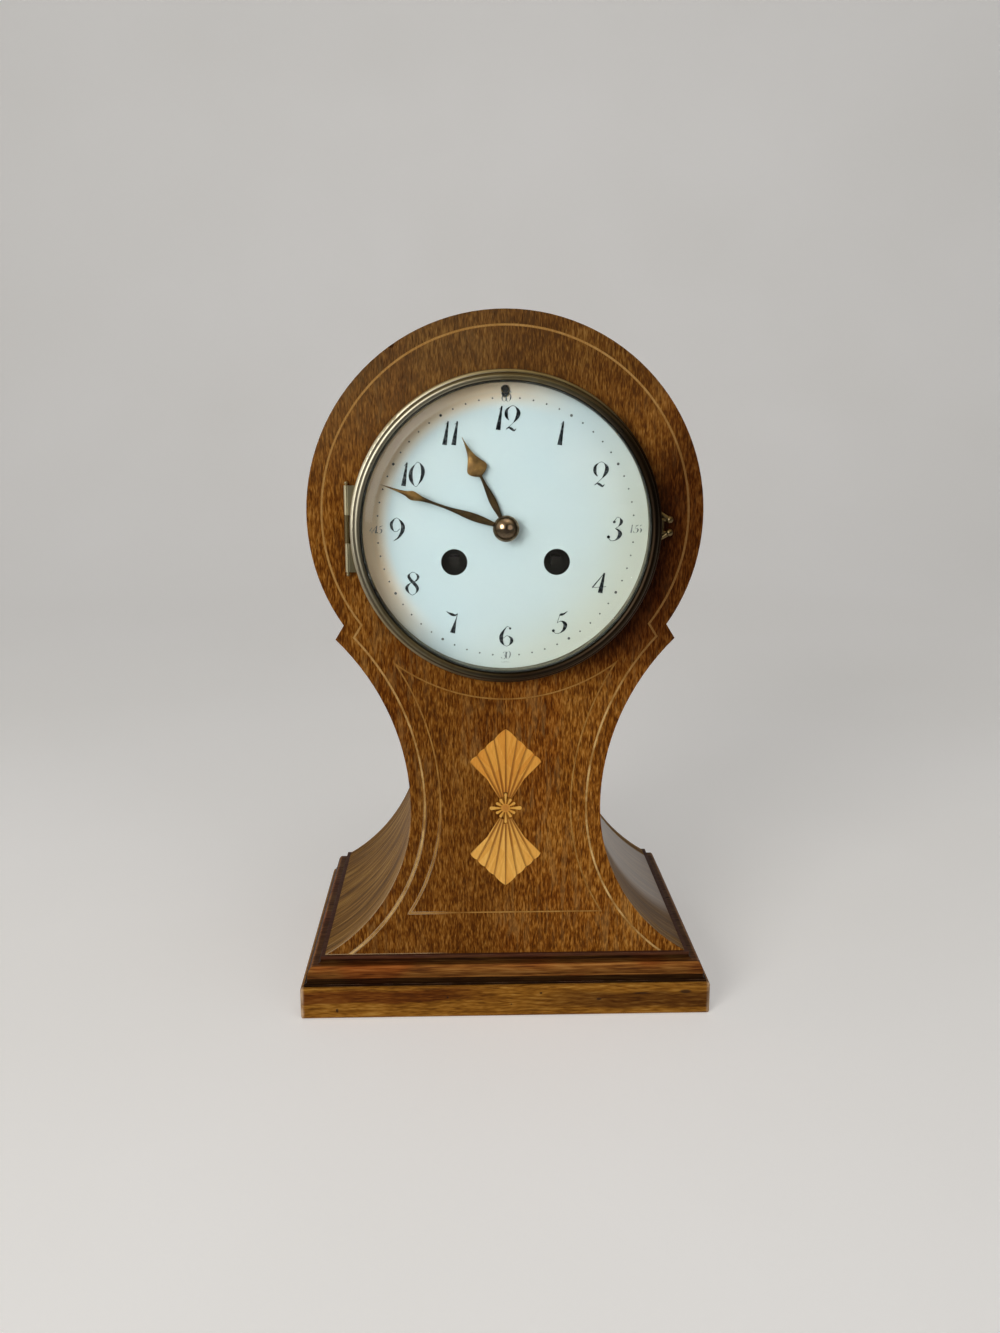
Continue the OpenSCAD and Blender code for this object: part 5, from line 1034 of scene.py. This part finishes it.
def ridged_hand(name, node, body, rows, material, length, half_w, hub_r, bore_r, angle):
    """Hand with a raised ridge along its middle, in the room that the frame's flat hand takes."""
    low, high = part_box(node)
    front, back = low.y, high.y
    turn = math.radians(angle)
    out = Vector((math.sin(turn), 0, math.cos(turn)))
    side = Vector((math.cos(turn), 0, -math.sin(turn)))
    centre = Vector((DIAL_X, 0, DIAL_Z))
    bm = bmesh.new()
    sections = []
    for share, width, _ in smooth_stroke([(r, w, 0) for r, w in rows], 4):
        middle = centre + out * share * length
        half = max(width, HAND_TIP_W) * half_w
        ring = [middle + side * across * half + Vector((0, back + (front - back) * rise, 0))
                for across, rise in HAND_SECTION]
        ring += [middle + side * half + Vector((0, back, 0)), middle - side * half + Vector((0, back, 0))]
        sections.append([bm.verts.new(point) for point in ring])
    for first, second in zip(sections, sections[1:]):
        for i in range(len(first)):
            bm.faces.new((first[i - 1], first[i], second[i], second[i - 1]))
    bm.faces.new(sections[0])
    bm.faces.new(sections[-1][::-1])
    hub_ring(bm, centre, hub_r, bore_r, front, back)
    piece = new_piece(name, bm, material, body)
    piece.data.set_sharp_from_angle(angle=HAND_CREASE)
    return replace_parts(piece, node)


def hub_ring(bm, centre, hub_r, bore_r, front, back, sides=48):
    """Round collet of a hand, with its front corner softened."""
    profile = [
        (bore_r, back), (hub_r, back), (hub_r, front + HUB_SOFT), (hub_r - HUB_SOFT, front), (bore_r, front)]
    rings = []
    for i in range(sides):
        angle = 2 * math.pi * i / sides
        way = Vector((math.cos(angle), 0, math.sin(angle)))
        rings.append([bm.verts.new(centre + way * r + Vector((0, y, 0))) for r, y in profile])
    for i in range(sides):
        for j in range(len(profile)):
            bm.faces.new((rings[i - 1][j - 1], rings[i - 1][j], rings[i][j], rings[i][j - 1]))


def hands():
    """Hour and minute hand, bronzed, their blades golden and their stems darker."""
    hour_bronze = hand_bronze("hour_hand_bronze", stem_l=18 * MM, blade_l=24 * MM)
    minute_bronze = hand_bronze("minute_hand_bronze", stem_l=29 * MM, blade_l=36 * MM)
    ridged_hand("hour_hand_ridged", "hour_hand", "hour_hand_group", HOUR_ROWS, hour_bronze, **HOUR_SIZES)
    ridged_hand(
        "minute_hand_ridged", "minute_hand", "minute_hand_group", MINUTE_ROWS, minute_bronze, **MINUTE_SIZES)


def camera():
    """Camera at the viewpoint of the photograph."""
    data = bpy.data.cameras.new("camera")
    data.lens = FOCAL_PX / PHOTO_H * SENSOR_MM
    data.sensor_width = SENSOR_MM
    data.clip_start = NEAREST
    eye = add_object("camera", data)
    eye.location = EYE
    eye.rotation_euler = (math.radians(90 - EYE_PITCH), 0, math.radians(-EYE_YAW))
    bpy.context.scene.camera = eye


# Lamps aim at one point: name, place, size across in metres, power in watts, colour
LAMP_TARGET = (0.0, -0.05, 0.15)
WINDOW_AT = (-0.66, -1.10, 0.50)
LAMPS = [
    ("window_lamp", WINDOW_AT, 0.62, 9.4, (1.0, 0.985, 0.96)),
    ("room_lamp", (0.75, -1.20, 0.35), 0.9, 2.6, (1.0, 0.98, 0.95)),
    ("overhead_lamp", (0.10, -0.45, 1.40), 1.0, 2.7, (1.0, 0.99, 0.98)),
]


def lamp(name, place, size, power, colour):
    """Round soft lamp that mirrors don't see."""
    data = bpy.data.lights.new(name, "AREA")
    data.shape = "DISK"
    data.size = size
    data.energy = power
    data.color = colour
    made = add_object(name, data)
    made.location = place
    made.rotation_euler = (Vector(LAMP_TARGET) - Vector(place)).to_track_quat("-Z", "Y").to_euler()
    made.visible_glossy = False


# How much paler the paper looks than the light on it makes it
PAPER_GLOW = 0.40
# Where before the clock the paper is dim to mirrors, and where it is pale
MIRROR_DIM_Y = -0.40
MIRROR_PALE_Y = 0.0


def paper():
    """Pale paper that keeps the clock's shadow. Mirrors see it dim before the clock."""
    paint = Paint("studio_paper")
    cloud = paint.noise(3, 3)
    colour = paint.ramp(cloud, (0.3, (0.74, 0.725, 0.70)), (0.7, (0.78, 0.765, 0.745)))
    camera_ray, mirrored, bounced = paint.light_path()
    before = paint.span(paint.y, MIRROR_DIM_Y, MIRROR_PALE_Y, 1, 0)
    dim = paint.times(paint.times(mirrored, bounced), before)
    seen = paint.calc("MAXIMUM", camera_ray, paint.minus(mirrored, dim))
    shade = paint.mix(paint.times(dim, 0.9), colour, (0.05, 0.046, 0.04))
    return paint.finish(
        Base_Color=shade, Roughness=paint.span(cloud, 0.3, 0.7, 0.7, 0.8), Emission_Color=colour,
        Emission_Strength=paint.times(seen, PAPER_GLOW))


def sweep():
    """Pale floor that rises in one curve to a wall behind the clock."""
    half_w, near, cove_y, cove_r, top = 4.0, -3.0, 0.9, 0.7, 3.0
    cove_steps = 16
    floor_z = -0.05 * MM
    profile = [(near, floor_z), (cove_y, floor_z)]
    for i in range(1, cove_steps + 1):
        angle = math.pi / 2 * i / cove_steps
        profile.append((cove_y + cove_r * math.sin(angle), floor_z + cove_r * (1 - math.cos(angle))))
    profile.append((cove_y + cove_r, top))
    bm = bmesh.new()
    rows = [[bm.verts.new((x, y, z)) for y, z in profile] for x in (-half_w, half_w)]
    for i in range(len(profile) - 1):
        bm.faces.new((rows[0][i], rows[1][i], rows[1][i + 1], rows[0][i + 1]))
    made = add_mesh("sweep", bm, paper(), smooth=True)
    made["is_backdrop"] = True


# Room light: what falls on the object, and what straight sight and mirrors meet
ROOM_FILL = (0.085, 0.085, 0.088)
ROOM_BACK = (0.80, 0.79, 0.77)
ROOM_FRONT_LEFT = (0.95, 0.935, 0.89)
ROOM_FRONT_RIGHT = (0.045, 0.040, 0.034)
ROOM_CEILING = (0.62, 0.52, 0.33)
ROOM_WINDOW = (2.6, 2.55, 2.45)
# Where parts of the mirrored room begin, by the direction's share along x, y, z or towards the window
ROOM_RIGHT_X = (-0.36, -0.10)
ROOM_BACK_Y = (0.1, 0.8)
ROOM_CEILING_Z = (0.35, 0.8)
ROOM_WINDOW_RIM = (0.90, 0.99)


def mirrored_room(sky):
    """Colour of the room that mirrors see: dark in front on the right, with a window at the front left."""
    way = sky.node("ShaderNodeTexCoord").outputs["Generated"]
    x, y, z = sky.split(way)
    front = sky.mix(sky.span(x, *ROOM_RIGHT_X), ROOM_FRONT_LEFT, ROOM_FRONT_RIGHT)
    room = sky.mix(sky.span(y, *ROOM_BACK_Y), front, ROOM_BACK)
    room = sky.mix(sky.span(z, *ROOM_CEILING_Z), room, ROOM_CEILING)
    to_window = (Vector(WINDOW_AT) - Vector(LAMP_TARGET)).normalized()
    return sky.mix(sky.span(sky.dot(way, to_window), *ROOM_WINDOW_RIM), room, ROOM_WINDOW)


def studio_world():
    """Soft room light. Straight sight, through glass too, meets a pale room, and mirrors their own."""
    world = bpy.data.worlds.new("studio")
    bpy.context.scene.world = world
    world.use_nodes = True
    sky = Nodes(world.node_tree)
    camera_ray, mirrored, bounced = sky.light_path()
    straight = sky.calc("MAXIMUM", camera_ray, sky.minus(mirrored, bounced))
    light = sky.mix(mirrored, ROOM_FILL, mirrored_room(sky))
    background = sky.node("ShaderNodeBackground", sky.mix(straight, light, ROOM_BACK))
    sky.node("ShaderNodeOutputWorld", background.outputs[0])


def studio():
    """Floor, world and lamps."""
    sweep()
    studio_world()
    for row in LAMPS:
        lamp(*row)
    bpy.context.scene.view_settings.view_transform = "Standard"


camera()
studio()
dress_nodes()
dial_painting()
hands()

visual_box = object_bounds()
boxes = {"cad": cad_box, "visual": visual_box}
{name: [list(corner) for corner in box] for name, box in boxes.items()}
